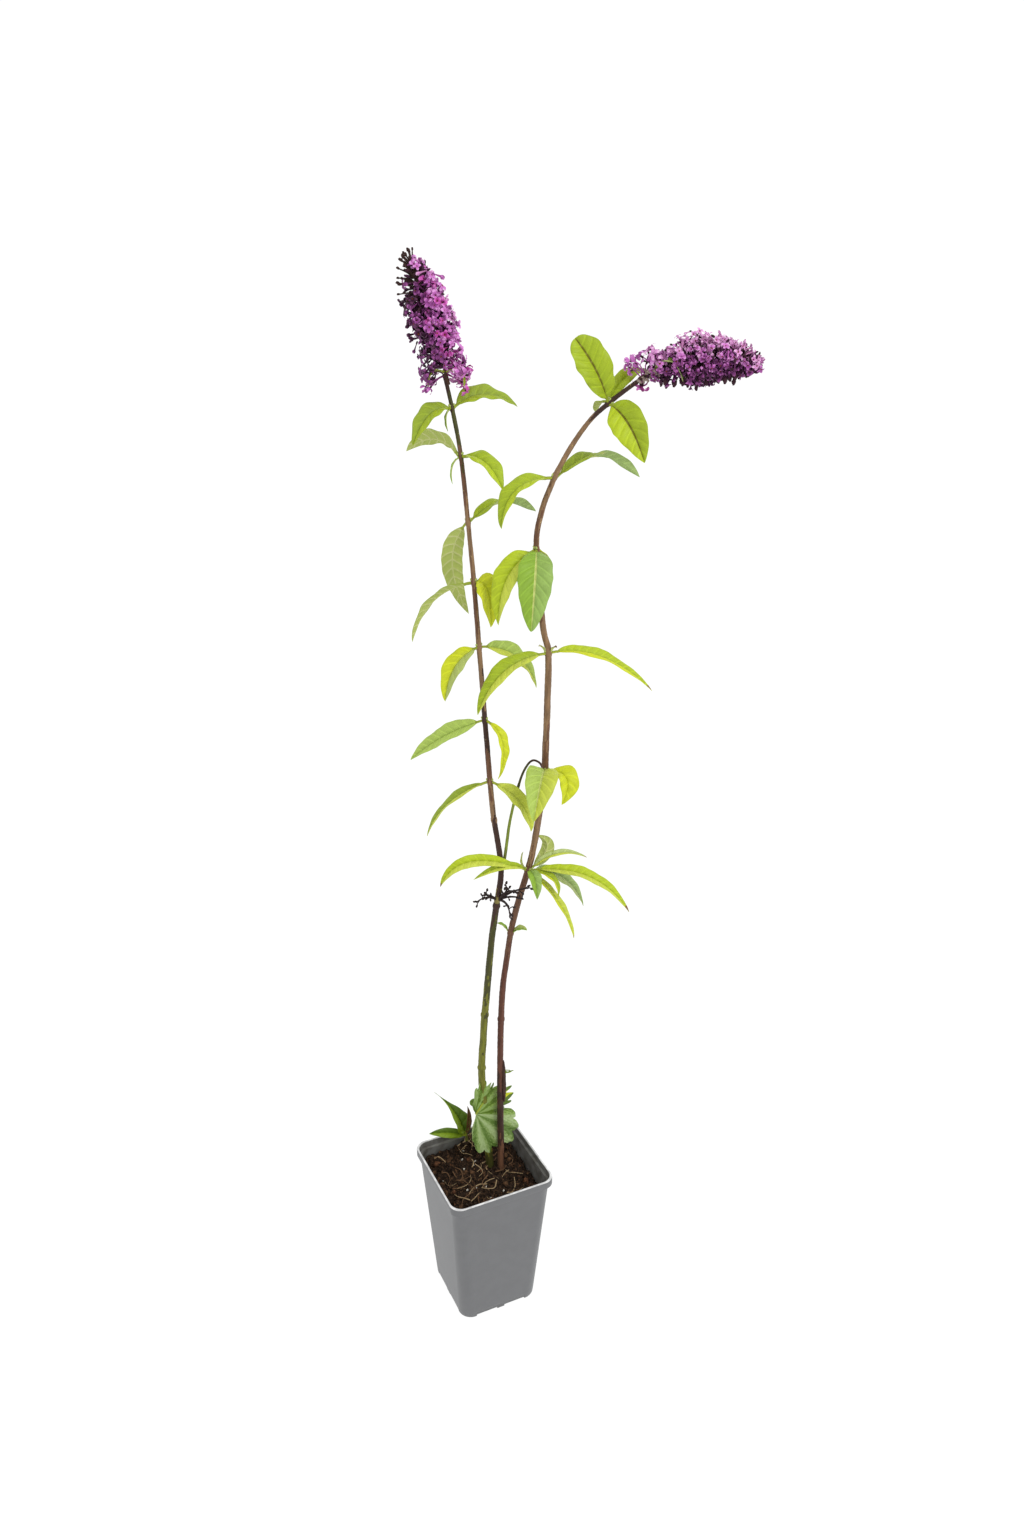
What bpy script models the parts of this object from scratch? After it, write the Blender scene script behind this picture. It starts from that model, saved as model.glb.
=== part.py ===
"""A young butterfly bush with two flowering stems, standing in its square nursery pot.

The plant is described as it is seen from the front: across to the right, toward the
viewer, and up, in millimetres. One empty turns it to the pot, whose sides lie along
X and Y. The origin is the centre of the pot's underside, and +Z is up.
"""

import math

import bmesh
import bpy
import numpy as np
from mathutils import Matrix, Vector

MM = 0.001
CLEAR = 0.3
TURN = 25.2

# Pot, a deep square nursery pot
POT_TOP = 90.0
POT_FOOT = 68.0
POT_TALL = 127.0
POT_WALL = 1.3
POT_FLOOR = 2.4
POT_CORNER = 9.5
RIM_TALL = 7.0
RIM_PROUD = 2.2
RIM_LIP = 1.7
NOTCH_TALL = 2.2
NOTCH_DEEP = 9.0
NOTCH_LONG = 19.0
CORNER_STEPS = 5

# Soil: level, and a mound of debris against the wall behind the stems
SOIL_TOP = 107.0
MOUND_TALL = 14.0
MOUND_AT = (-8.0, -44.0)
MOUND_REACH = 15.0
CRUMB_TALL = 1.6
FLAT_REACH = 18.0
SOIL_RINGS = (0.93, 0.8, 0.65, 0.5, 0.35, 0.2, 0.1)

# Node rings and leaves
RING_BAR = 0.65
RING_SIDES = 10
LEAF_THICK = 0.95
LEAF_ROWS = 7
ROOT_WIDE = 1.7

# Stems: (across, toward, up) of each bend, and the thickness at the foot and the tip
LEFT_STEM = dict(
    route=[(5, -19, 107.5), (-1, -21, 188), (1, -18, 244), (4, -16, 282), (8, -13, 329), (12, -12, 361)],
    foot=6.4, tip=4.6,
)
LEFT_LEADER = dict(
    route=[
        (12.2, -12, 361.4), (15.5, -11, 392), (10.5, -8, 433), (7.8, -6, 464), (4.6, -3, 512), (1, -1, 566),
        (-2, -1, 611), (-5.5, -3, 651), (-9.6, -6, 693), (-15, -9, 723), (-19, -10, 741),
    ],
    foot=4.3, tip=2.6,
)
RIGHT_STEM_LOWER = dict(
    route=[(14.5, -14, 107.5), (14, -22, 208), (16, -24, 273), (20, -25, 308), (23, -24, 331.5)],
    foot=5.4, tip=4.4,
)
RIGHT_STEM_MIDDLE = dict(
    route=[(23.2, -24, 332.1), (29, -22, 359), (36, -20, 386), (40.5, -18, 408), (45.5, -15, 446), (48, -13, 470.5)],
    foot=4.5, tip=5.0,
)
RIGHT_STEM_UPPER = dict(
    route=[(48, -13, 471.1), (49, -8, 526), (49, -4, 561), (45, -2, 581.5), (40, 4, 634), (43, 8, 659), (51.5, 12, 683)],
    foot=4.9, tip=3.4,
)
RIGHT_STEM_ARCH = dict(
    route=[(51.8, 12.2, 683.7), (61.5, 15, 701), (73, 17.5, 717.5), (84, 20, 727.5), (94, 23, 735.5), (105, 26, 743.5)],
    foot=3.4, tip=2.5,
)
GREEN_SHOOT = dict(
    route=[
        (17.7, -13, 396), (19, -15, 404), (22.5, -20, 428), (28.5, -24, 453), (33, -26, 465.5),
        (38.5, -27, 472.5), (44, -26, 471.5), (47, -24, 467),
    ],
    foot=2.4, tip=1.6,
)
SNAG_STUB = dict(route=[(17.8, -21.8, 211), (18.1, -20.6, 195), (18.4, -18.4, 173)], foot=2.2, tip=2.8)
STEM_STEP = 13.0


def leaf(tip, bow, wide, facing=0, fold=16, twist=0, peak=0.45, root=None, blunt=0.85,
         teeth=0, stalk=0.07):
    """A leaf by where its tip lies from its node, how far its midrib bows off the straight
    line, its width, and how far the blade is turned to show the viewer its upper face.
    Root is the way it leaves the stem, where that isn't the way it heads for, and stalk
    the share of its length that is bare."""
    return dict(tip=tip, bow=bow, wide=wide, facing=facing, fold=fold, twist=twist, peak=peak,
                root=root, blunt=blunt, teeth=teeth, stalk=stalk)


LEFT_NODES = [
    ("left_leaves_1", (-15, -9, 723), [
        leaf((42, -16, -1), (0, 0, 8), 15, facing=34),
        leaf((-25, 16, -23), (-3, 2, 7), 13, facing=20),
        leaf((-3, 6, -14), (-2, 0, 2), 2.2),
    ]),
    ("left_leaves_2", (-9.6, -6, 693), [
        leaf((27, 20, -21), (2.5, 2, 4.5), 13.5, facing=15),
        leaf((-37, -20, 0), (0, 0, 8.5), 14, facing=-42),
        leaf((-6, 5, -17), (-2.5, 0, 2), 2.2),
    ]),
    ("left_leaves_3", (-5.5, -3, 651), [
        leaf((47, -14, 5), (0, 0, 9.5), 12, facing=50, twist=-115),
        leaf((1, -16, -63), (-11, -5, 2), 13.5, facing=-55),
    ]),
    ("left_leaves_4", (-2, -1, 611), [
        leaf((12, 6, -30), (5, 1, 6), 17, facing=25),
        leaf((-43, -14, -42), (-6, -2, 9), 10, facing=-15),
    ]),
    ("left_leaves_5", (1, -1, 566), [
        leaf((39, -18, -32), (4.5, -2, 7.5), 13, facing=40),
        leaf((-22, 18, -34), (-4, 3, 4), 14, facing=22),
    ]),
    ("left_leaves_6", (4.6, -3, 512), [
        leaf((10, 10, -41), (8, 4, 3), 7.5, facing=10),
        leaf((-53, -10, -31), (-2, -1, 3.5), 13, facing=50),
    ]),
    ("left_leaves_7", (7.8, -6, 464), [
        leaf((30, 14, -34), (5, 2.5, 5), 13, facing=18),
        leaf((-46, -8, -44), (-5, -1, 8), 10, facing=20),
    ]),
]
RIGHT_NODES = [
    ("right_leaves_1", (84, 20, 727.5), [
        leaf((-20, 10, 38.5), (2, 4, 1), 21, facing=10, blunt=0.42),
        leaf((22.5, 16, -37), (4.5, 3.5, 3), 21, facing=45),
        leaf((20, -12, 15), (-1.5, 1, 3), 8, facing=45),
        leaf((-4, -13, -7), (-2, 0, 2), 5.5, facing=-30),
    ]),
    ("right_leaves_2", (51.3, 12, 682), [
        leaf((54.5, -12, 0), (0, 0, 13.5), 13, facing=50, twist=-115),
        leaf((-31, 14, -34), (-7, 2.5, 6), 14, facing=22),
    ]),
    ("right_leaves_3", (40, 4, 634), [
        leaf((-5, 24, -50), (-1, 10, 7), 23, fold=10, peak=0.35),
        leaf((-24, 14, -50), (-9, 5, 6), 16, facing=22),
        leaf((8, -10, -28), (4, -2, 3), 6),
    ]),
    ("right_leaves_4", (49, -4, 561), [
        leaf((70, -10, -31), (3.5, -1, 12), 9.5, facing=30, peak=0.4),
        leaf((-49, 22, -38), (-7, 4, 10), 13, facing=22),
        leaf((-7, 3, 6), (0, 0, 2), 2.4),
        leaf((6, 3, 5), (0, 0, 2), 2.4),
    ]),
    ("right_leaves_5", (48, -13, 470), [
        leaf((-9, 36, -26), (0, 5, 10), 22, fold=24, peak=0.4),
        leaf((12, 16, -21), (9, 2, 7), 16, facing=20),
    ]),
    ("right_leaves_6", (36, -20, 386), [
        leaf((-66, 23, -3), (-9, 14, 20), 8, facing=28),
        leaf((-41, 20, 0), (0, 4, 8), 5, facing=25),
        leaf((76, 8, -31), (6, 0, 11.5), 9.5, facing=28),
        leaf((6, 15, -19), (0, 4, 5), 9, peak=0.35),
        leaf((36, 10, -54), (8, 1, 7), 6, facing=20),
        leaf((22, 10, -16), (5, 1, 6), 5.5, facing=20),
        leaf((44, -16, -38), (5, -1, 8), 10, facing=36),
        leaf((6, -10, 25), (10, -3, 3), 10, facing=-25),
        leaf((46, -14, 4), (0, 0, 9), 4.5, facing=25),
        leaf((-4, -3, 14), (-2, 0, -1), 4),
    ]),
    ("right_leaves_7", (22.9, -24, 329), [
        leaf((-11, -2, 7), (0, 0, 2), 3),
        leaf((13, 4, 4), (0, 0, 3), 4, facing=25),
    ]),
]
LOW_NODE = ("basal_leaves_front", (-0.3, -22, 172), [
    leaf((13, -0.1, -46), (0.9, 1.3, 0), 50, fold=0, root=(0, 1, 0), blunt=0.3, teeth=4, stalk=0.2),
    leaf((21, -11, 1), (0.9, 1.1, 0), 29, fold=0, root=(0, 1, 0), blunt=0.35, teeth=4),
    leaf((-11, 6, 4), (0.4, 1, 0), 15, fold=0, root=(0, 1, 0), blunt=0.5, teeth=3),
])
SOIL_NODE = ("basal_leaves_left", (-16, -32, 127), [
    leaf((-26, -5, 41), (3, 1, 1), 15, facing=30, fold=30, blunt=1.5),
    leaf((-29, 9, 11), (0, 1, 3), 8, facing=40),
    leaf((2, -3, 28), (1, 0, 0), 2.0),
])

# Flower spikes: from the foot of the spike to its tip, the widths along it, and the florets
LEFT_SPIKE = dict(
    foot=(-19.2, -10, 741.6), tip=(-41.5, -18, 811), bow=(3, 0, 1.5), half_width=(14, 17, 16, 15.5, 12.5, 7),
    florets=50, bare_twigs=7, loose=6, droop=15, seed=3,
)
RIGHT_SPIKE = dict(
    foot=(105.4, 26.1, 743.7), tip=(171, 44, 750.8), bow=(0, 0, 4.5), half_width=(6, 12.5, 18, 15.5, 12, 5),
    florets=54, bare_twigs=0, loose=6, droop=8, seed=8,
)
CORE_SHARE = 0.55
FLORET_MOUTH = 4.0
GOLDEN_ANGLE = math.radians(137.5)
BRACT_RISE = 0.05

# The dead spike at the fork: the end of each twig, and how far it bows
SPENT_AT = (12, -12, 365)
SPENT_TWIGS = [
    ((-17, 9, 5), (0, 1, 3)), ((5, 7, 20), (3, 0, 1)), ((13, 10, 17), (-1, 0, 2)), ((19, 5, 13), (0, 0, 2)),
    ((12, 9, -6), (2, 1, 3)), ((-8, 6, 6), (0, 0, 1)),
]

GREY_PLASTIC = ((0.21, 0.215, 0.225), 0.45)
POTTING_MIX = ((0.035, 0.022, 0.014), 0.95)
BROWN_BARK = ((0.14, 0.07, 0.035), 0.75)
GREEN_BARK = ((0.11, 0.14, 0.03), 0.6)
DEAD_BARK = ((0.05, 0.028, 0.018), 0.85)
LIME_LEAF = ((0.33, 0.48, 0.03), 0.55)
FELTED_LEAF = ((0.28, 0.42, 0.14), 0.8)
PURPLE_FLOWER = ((0.33, 0.06, 0.34), 0.65)


def clear_scene():
    for old in list(bpy.data.objects):
        bpy.data.objects.remove(old, do_unlink=True)


def material(name, look):
    made = bpy.data.materials.get(name)
    if made is None:
        made = bpy.data.materials.new(name)
        made.use_nodes = True
        shader = made.node_tree.nodes["Principled BSDF"]
        shader.inputs["Base Color"].default_value = (*look[0], 1.0)
        shader.inputs["Roughness"].default_value = look[1]
    return made


def collection(name):
    made = bpy.data.collections.new(name)
    bpy.context.scene.collection.children.link(made)
    return made


def seen(point):
    """A point given across, toward and up, as X, Y and Z in metres before the plant is turned."""
    across, toward, up = point
    return Vector((across * MM, -toward * MM, up * MM))


def add_object(name, mesh, into, look=None, parent=None):
    made = bpy.data.objects.new(name, mesh)
    into.objects.link(made)
    if look:
        mesh.materials.append(material(*look))
    if parent:
        made.parent = parent
    return made


def mesh_of(made_bmesh, name):
    mesh = bpy.data.meshes.new(name)
    bmesh.ops.recalc_face_normals(made_bmesh, faces=made_bmesh.faces)
    made_bmesh.to_mesh(mesh)
    made_bmesh.free()
    return mesh


def shade(made, degrees=40):
    made.data.shade_smooth()
    made.data.set_sharp_from_angle(angle=math.radians(degrees))


# Pot and soil

def rounded_square(half, corner, height, raise_by=None):
    """The points of one square ring with round corners, counter-clockwise."""
    points = []
    for quarter in range(4):
        turned = math.radians(90 * quarter)
        for step in range(CORNER_STEPS + 1):
            angle = turned + math.radians(90 * step / CORNER_STEPS)
            middle = half - corner
            cx = middle * (1 if quarter in (0, 3) else -1)
            cy = middle * (1 if quarter in (0, 1) else -1)
            x, y = cx + corner * math.cos(angle), cy + corner * math.sin(angle)
            z = height if raise_by is None else height + raise_by(x, y)
            points.append(Vector((x * MM, y * MM, z * MM)))
    return points


def loft(rings, name):
    """A closed body through rings of equal length, with flat ends."""
    work = bmesh.new()
    rows = [[work.verts.new(point) for point in ring] for ring in rings]
    for low, high in zip(rows, rows[1:]):
        count = len(low)
        for i in range(count):
            work.faces.new((low[i], low[(i + 1) % count], high[(i + 1) % count], high[i]))
    work.faces.new(list(reversed(rows[0])))
    work.faces.new(rows[-1])
    return mesh_of(work, name)


def half_side(height):
    """Half the outer width of the pot's body at a height."""
    body_top = POT_TOP / 2 - RIM_PROUD
    return POT_FOOT / 2 + (body_top - POT_FOOT / 2) * height / (POT_TALL - RIM_TALL)


def inner_half(height):
    return half_side(height) - POT_WALL


def make_pot(parts, cutters):
    rim_half = POT_TOP / 2
    ledge = POT_TALL - RIM_TALL
    profile = [
        (POT_FOOT / 2 - 0.9, 0.0),
        (POT_FOOT / 2, 1.0),
        (half_side(ledge), ledge),
        (rim_half - 0.3, ledge + 0.1),
        (rim_half, ledge + 0.6),
        (rim_half, POT_TALL - 0.7),
        (rim_half - 0.5, POT_TALL),
        (rim_half - RIM_LIP + 0.4, POT_TALL),
        (rim_half - RIM_LIP, POT_TALL - 0.6),
        (rim_half - RIM_LIP - 0.2, ledge + 1.4),
        (inner_half(ledge), ledge + 0.6),
        (inner_half(POT_FLOOR + 1), POT_FLOOR + 1),
        (inner_half(POT_FLOOR) - 1, POT_FLOOR),
    ]
    inset = rim_half - POT_CORNER
    rings = [rounded_square(half, max(half - inset * half / rim_half, 2.0), z) for half, z in profile]
    pot = add_object("pot", loft(rings, "pot"), parts, ("grey_plastic", GREY_PLASTIC))
    for side in range(4):
        for end in (-1, 1):
            notch = box_object(f"notch_{side}_{end}", (NOTCH_LONG, 2 * NOTCH_DEEP, 2 * NOTCH_TALL), cutters)
            angle = math.radians(90 * side)
            along = end * (NOTCH_LONG / 2 + 3.2)
            out = POT_FOOT / 2
            x = math.cos(angle) * along - math.sin(angle) * out
            y = math.sin(angle) * along + math.cos(angle) * out
            notch.location = (x * MM, y * MM, 0)
            notch.rotation_euler.z = angle
    cut = pot.modifiers.new("foot_notches", "BOOLEAN")
    cut.operation = "DIFFERENCE"
    cut.operand_type = "COLLECTION"
    cut.collection = cutters
    cut.solver = "EXACT"
    shade(pot)
    return pot


def box_object(name, size, into):
    work = bmesh.new()
    bmesh.ops.create_cube(work, size=1.0)
    bmesh.ops.scale(work, vec=Vector(size) * MM, verts=work.verts)
    made = add_object(name, mesh_of(work, name), into)
    made.hide_render = True
    made.display_type = "WIRE"
    return made


def soil_height(x, y):
    """Height of the soil at a place in the pot: crumbs, fading to flat by the stems, and the mound."""
    turn = math.radians(TURN)
    across = x * math.cos(turn) - y * math.sin(turn)
    toward = -(x * math.sin(turn) + y * math.cos(turn))
    from_stems = math.hypot(across - 9.5, toward + 17)
    flat = 1 - math.exp(-((from_stems / FLAT_REACH) ** 4))
    crumbs = math.sin(x * 0.41 + 1) * math.cos(y * 0.37) + 0.5 * math.sin(x * 0.9 - y * 0.7)
    from_mound = math.hypot(across - MOUND_AT[0], toward - MOUND_AT[1])
    mound = MOUND_TALL * math.exp(-((from_mound / MOUND_REACH) ** 2))
    return SOIL_TOP + flat * (CRUMB_TALL * crumbs + mound)


def make_soil(parts):
    def edge(height, share=1.0):
        half = inner_half(height) - CLEAR - 0.05
        return half * share, max((half - (POT_TOP / 2 - POT_CORNER) * half / (POT_TOP / 2)) * share, 1.0)

    low = POT_FLOOR + CLEAR
    rings = [rounded_square(edge(low)[0] - 1.2, edge(low)[1], low)]
    rings.append(rounded_square(*edge(low + 1.2), low + 1.2))
    rings.append(rounded_square(*edge(SOIL_TOP - 8), SOIL_TOP - 8))
    for share in (1.0, *SOIL_RINGS):
        rings.append([
            Vector((p.x, p.y, soil_height(p.x / MM, p.y / MM) * MM))
            for p in rounded_square(*edge(SOIL_TOP - 4, share), 0)
        ])
    soil = add_object("soil", loft(rings, "soil"), parts, ("potting_mix", POTTING_MIX))
    shade(soil, 60)
    return soil


# Stems

def smooth_route(points, step):
    """Points every step along a smooth curve through the given points, and each one's share of the way."""
    points = [np.array(p, float) for p in points]
    padded = [2 * points[0] - points[1], *points, 2 * points[-1] - points[-2]]
    curve = []
    for a, b, c, d in zip(padded, padded[1:], padded[2:], padded[3:]):
        count = max(1, round(np.linalg.norm(c - b) / step))
        for t in np.arange(count) / count:
            curve.append(0.5 * (2 * b + (c - a) * t + (2 * a - 5 * b + 4 * c - d) * t**2
                                + (3 * b - a - 3 * c + d) * t**3))
    curve.append(points[-1])
    return curve


def tube(name, points, widths, sides_level=2):
    """A mesh tube through points, from a curve with a round bevel and filled caps."""
    curve = bpy.data.curves.new(name, "CURVE")
    curve.dimensions = "3D"
    curve.bevel_depth = MM / 2
    curve.bevel_resolution = sides_level
    curve.use_fill_caps = True
    spline = curve.splines.new("POLY")
    spline.points.add(len(points) - 1)
    for place, point, wide in zip(spline.points, points, widths):
        place.co = (*seen(point), 1.0)
        place.radius = wide
    guide = bpy.data.objects.new(name, curve)
    bpy.context.scene.collection.objects.link(guide)
    bpy.context.view_layer.update()
    mesh = bpy.data.meshes.new_from_object(guide.evaluated_get(bpy.context.evaluated_depsgraph_get()))
    bpy.data.objects.remove(guide, do_unlink=True)
    work = bmesh.new()
    work.from_mesh(mesh)
    bpy.data.meshes.remove(mesh)
    bmesh.ops.remove_doubles(work, verts=work.verts, dist=1e-6)
    return mesh_of(work, name)


def make_stem(name, stem, parts, look, parent):
    points = smooth_route(stem["route"], STEM_STEP)
    shares = np.linspace(0, 1, len(points))
    widths = stem["foot"] + (stem["tip"] - stem["foot"]) * shares
    made = add_object(name, tube(name, points, widths), parts, look, parent)
    shade(made, 50)
    return made


# Leaves

def midrib(blade, start, share):
    """A point of the midrib, on a curve that bows off the line from root to tip."""
    tip = np.array(blade["tip"], float) - start
    control = blade["peak"] * tip + 2 * np.array(blade["bow"], float)
    return start + 2 * share * (1 - share) * control + share**2 * tip


def outline(blade, share):
    """The half width of the blade at a share of its length."""
    along = min(max((share - blade["stalk"]) / (1 - blade["stalk"]), 0.0), 1.0)
    full_at = 0.6 / (0.6 + blade["blunt"])
    peak = full_at**0.6 * (1 - full_at) ** blade["blunt"]
    half = blade["wide"] / 2 * along**0.6 * (1 - along) ** blade["blunt"] / peak
    if blade["teeth"]:
        half *= 1 - 0.12 * abs(math.sin(math.pi * blade["teeth"] * along))
    return max(half, ROOT_WIDE / 2 if share < 0.2 else 0.45)


def blade_frame(blade, start, share):
    """Direction of the midrib, the blade's sideways direction away from the viewer, and its upper side."""
    ahead = midrib(blade, start, min(share + 0.01, 1.0)) - midrib(blade, start, max(share - 0.01, 0.0))
    ahead /= np.linalg.norm(ahead)
    bow = np.array(blade["bow"], float)
    upper = bow - ahead * bow.dot(ahead)
    upper /= np.linalg.norm(upper)
    aside = np.cross(upper, ahead)
    if aside[1] > 0:
        aside = -aside
    turned = math.radians(blade["facing"] + blade["twist"] * share)
    away = aside * math.cos(turned) + upper * math.sin(turned)
    top = upper * math.cos(turned) - aside * math.sin(turned)
    return ahead, away, top


def root_on_ring(blade, along, reach):
    """Where a blade leaves the ring round a stem: square to the stem, on the side it heads for."""
    lean = np.array(blade["root"] or np.array(blade["tip"], float) + 3 * np.array(blade["bow"], float))
    square = lean - along * lean.dot(along)
    return square / np.linalg.norm(square) * reach


def leaf_mesh(blade, node, start):
    """A folded blade: a grid whose rows follow the midrib, from start to tip, both from the node."""
    rows = LEAF_ROWS + (5 if blade["teeth"] else 0)
    work = bmesh.new()
    bmesh.ops.create_grid(work, x_segments=rows, y_segments=2, size=0.5)
    for vert in work.verts:
        share = vert.co.x + 0.5
        side = round(vert.co.y * 2)
        share = share**0.9
        ahead, away, top = blade_frame(blade, start, share)
        fold = math.radians(blade["fold"])
        wing = away * side * math.cos(fold) + top * abs(side) * math.sin(fold)
        place = np.array(node, float) + midrib(blade, start, share) + wing * outline(blade, share)
        vert.co = seen(place)
    return mesh_of(work, "blade")


def ring_mesh(node, radius, along):
    """The ring round a stem that two facing leaves share."""
    inner = (radius + CLEAR) / math.cos(math.pi / RING_SIDES)
    work = bmesh.new()
    for side in range(RING_SIDES):
        angle = 2 * math.pi * side / RING_SIDES
        out = Vector((math.cos(angle), math.sin(angle), 0))
        for reach, height in ((inner, -1.0), (inner + 2 * RING_BAR, -0.5), (inner + 2 * RING_BAR, 0.5), (inner, 1.0)):
            work.verts.new((out * reach + Vector((0, 0, height * 1.3 * RING_BAR))) * MM)
    work.verts.ensure_lookup_table()
    for side in range(RING_SIDES):
        after = (side + 1) % RING_SIDES
        for corner in range(4):
            nxt = (corner + 1) % 4
            work.faces.new([work.verts[i] for i in (
                side * 4 + corner, after * 4 + corner, after * 4 + nxt, side * 4 + nxt)])
    turn = Vector((0, 0, 1)).rotation_difference(seen(along)).to_matrix().to_4x4()
    bmesh.ops.transform(work, matrix=Matrix.Translation(seen(node)) @ turn, verts=work.verts)
    return mesh_of(work, "ring")


def place_on_stem(node, stems):
    """The point of a stem nearest a node, the way the stem runs there, and its radius."""
    nearest = None
    for stem in stems:
        points = smooth_route(stem["route"], STEM_STEP)
        widths = np.linspace(stem["foot"], stem["tip"], len(points))
        for before, after, wide in zip(points, points[1:], widths):
            line = after - before
            share = np.clip((node - before).dot(line) / line.dot(line), 0, 1)
            place = before + share * line
            gap = np.linalg.norm(place - node)
            if nearest is None or gap < nearest[0]:
                nearest = (gap, place, line / np.linalg.norm(line), wide / 2)
    return nearest[1:]


def join_mass(name, pieces, parts, look, parent, solver="MANIFOLD"):
    """One closed body from overlapping pieces, by a union on a collection that is removed afterwards."""
    group = collection(name + "_pieces")
    for i, mesh in enumerate(pieces[1:]):
        add_object(f"{name}_piece_{i}", mesh, group)
    made = add_object(name, pieces[0], parts, look, parent)
    if len(pieces) > 1:
        union = made.modifiers.new("union", "BOOLEAN")
        union.operation = "UNION"
        union.operand_type = "COLLECTION"
        union.collection = group
        union.solver = solver
        parent_was = made.parent
        made.parent = None
        bpy.context.view_layer.update()
        joined = bpy.data.meshes.new_from_object(made.evaluated_get(bpy.context.evaluated_depsgraph_get()))
        made.parent = parent_was
        made.modifiers.clear()
        made.data = joined
    for piece in list(group.objects):
        bpy.data.objects.remove(piece, do_unlink=True)
    bpy.data.collections.remove(group)
    shade(made, 50)
    return made


def thickened(mesh, thick):
    """The closed body of an open blade, by Solidify."""
    guide = bpy.data.objects.new("blade", mesh)
    bpy.context.scene.collection.objects.link(guide)
    shell = guide.modifiers.new("thickness", "SOLIDIFY")
    shell.thickness = thick * MM
    shell.offset = 0
    bpy.context.view_layer.update()
    solid = bpy.data.meshes.new_from_object(guide.evaluated_get(bpy.context.evaluated_depsgraph_get()))
    bpy.data.objects.remove(guide, do_unlink=True)
    return solid


def make_leaf_mass(node, stems, parts, look, parent):
    """A pair of leaves, with any smaller ones, on a ring round the stem nearest their node."""
    name, near, blades = node
    place, along, radius = place_on_stem(near, stems)
    reach = (radius + CLEAR) / math.cos(math.pi / RING_SIDES) + RING_BAR
    pieces = [ring_mesh(place, radius, along)]
    for blade in blades:
        pieces.append(thickened(leaf_mesh(blade, place, root_on_ring(blade, along, reach)), LEAF_THICK))
    return join_mass(name, pieces, parts, look, parent)


def make_basal_mass(basal, parts, look, parent):
    """Leaves that rise from one short stalk, whose foot is clear of the soil."""
    name, node, blades = basal
    x, y = to_pot(node)
    foot = soil_height(x, y) + CLEAR + 1.2
    stalk = [(node[0], node[1], foot), (node[0], node[1], (foot + node[2]) / 2 + 1), (node[0], node[1], node[2] + 3)]
    pieces = [tube(name, stalk, (3.0, 2.6, 2.2), 1)]
    for blade in blades:
        pieces.append(thickened(leaf_mesh(blade, node, np.zeros(3)), LEAF_THICK))
    return join_mass(name, pieces, parts, look, parent)


def to_pot(point):
    """The X and Y of a point of the plant once it is turned, in millimetres."""
    turn = math.radians(TURN)
    across, away = point[0], -point[1]
    return across * math.cos(turn) + away * math.sin(turn), away * math.cos(turn) - across * math.sin(turn)


# Flowers

def spike_radius(spike, share):
    widths = spike["half_width"]
    return float(np.interp(share, np.linspace(0, 1, len(widths)), widths))


def floret_mesh(at, out, length):
    """One flower: a tube that widens to a mouth of four lobes."""
    work = bmesh.new()
    bmesh.ops.create_cone(work, segments=8, radius1=0, radius2=FLORET_MOUTH * MM,
                          depth=length * MM, cap_ends=True)
    for vert in work.verts:
        if vert.co.z > 0:
            lobe = round(math.degrees(math.atan2(vert.co.y, vert.co.x)) / 45) % 2
            if lobe:
                vert.co.x *= 0.55
                vert.co.y *= 0.55
                vert.co.z -= 0.8 * MM
    turn = Vector((0, 0, 1)).rotation_difference(out).to_matrix().to_4x4()
    middle = at + out * (length * MM / 2)
    bmesh.ops.transform(work, matrix=Matrix.Translation(middle) @ turn, verts=work.verts)
    return mesh_of(work, "floret")


def spike_axis(spike, share):
    """The point of a flower spike's bowed stalk at a share of its length, as seen."""
    foot, tip, bow = (np.array(spike[key], float) for key in ("foot", "tip", "bow"))
    return foot + share * (tip - foot) + 4 * share * (1 - share) * bow


def spike_frame(spike, share):
    """The place, the way on and two sideways directions at a share of a spike's length."""
    ahead = seen(spike_axis(spike, share + 0.01)) - seen(spike_axis(spike, share - 0.01))
    ahead.normalize()
    turn = Vector((0, 0, 1)).rotation_difference(ahead).to_matrix()
    return seen(spike_axis(spike, share)), ahead, turn @ Vector((1, 0, 0)), turn @ Vector((0, 1, 0))


def core_mesh(spike):
    """The packed heart of a flower spike, a lumpy spindle round its stalk."""
    work = bmesh.new()
    bmesh.ops.create_uvsphere(work, u_segments=10, v_segments=9, radius=1.0)
    for vert in work.verts:
        height = vert.co.z
        share = 0.12 + 0.84 * (height + 1) / 2
        around = math.atan2(vert.co.y, vert.co.x)
        lump = 1 + 0.1 * math.sin(9 * height + 3 * around)
        radius = CORE_SHARE * spike_radius(spike, share) * lump * (1 - height**6)
        middle, _, across, other = spike_frame(spike, share)
        vert.co = middle + (across * math.cos(around) + other * math.sin(around)) * (radius * MM)
    return mesh_of(work, "core")


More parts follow.
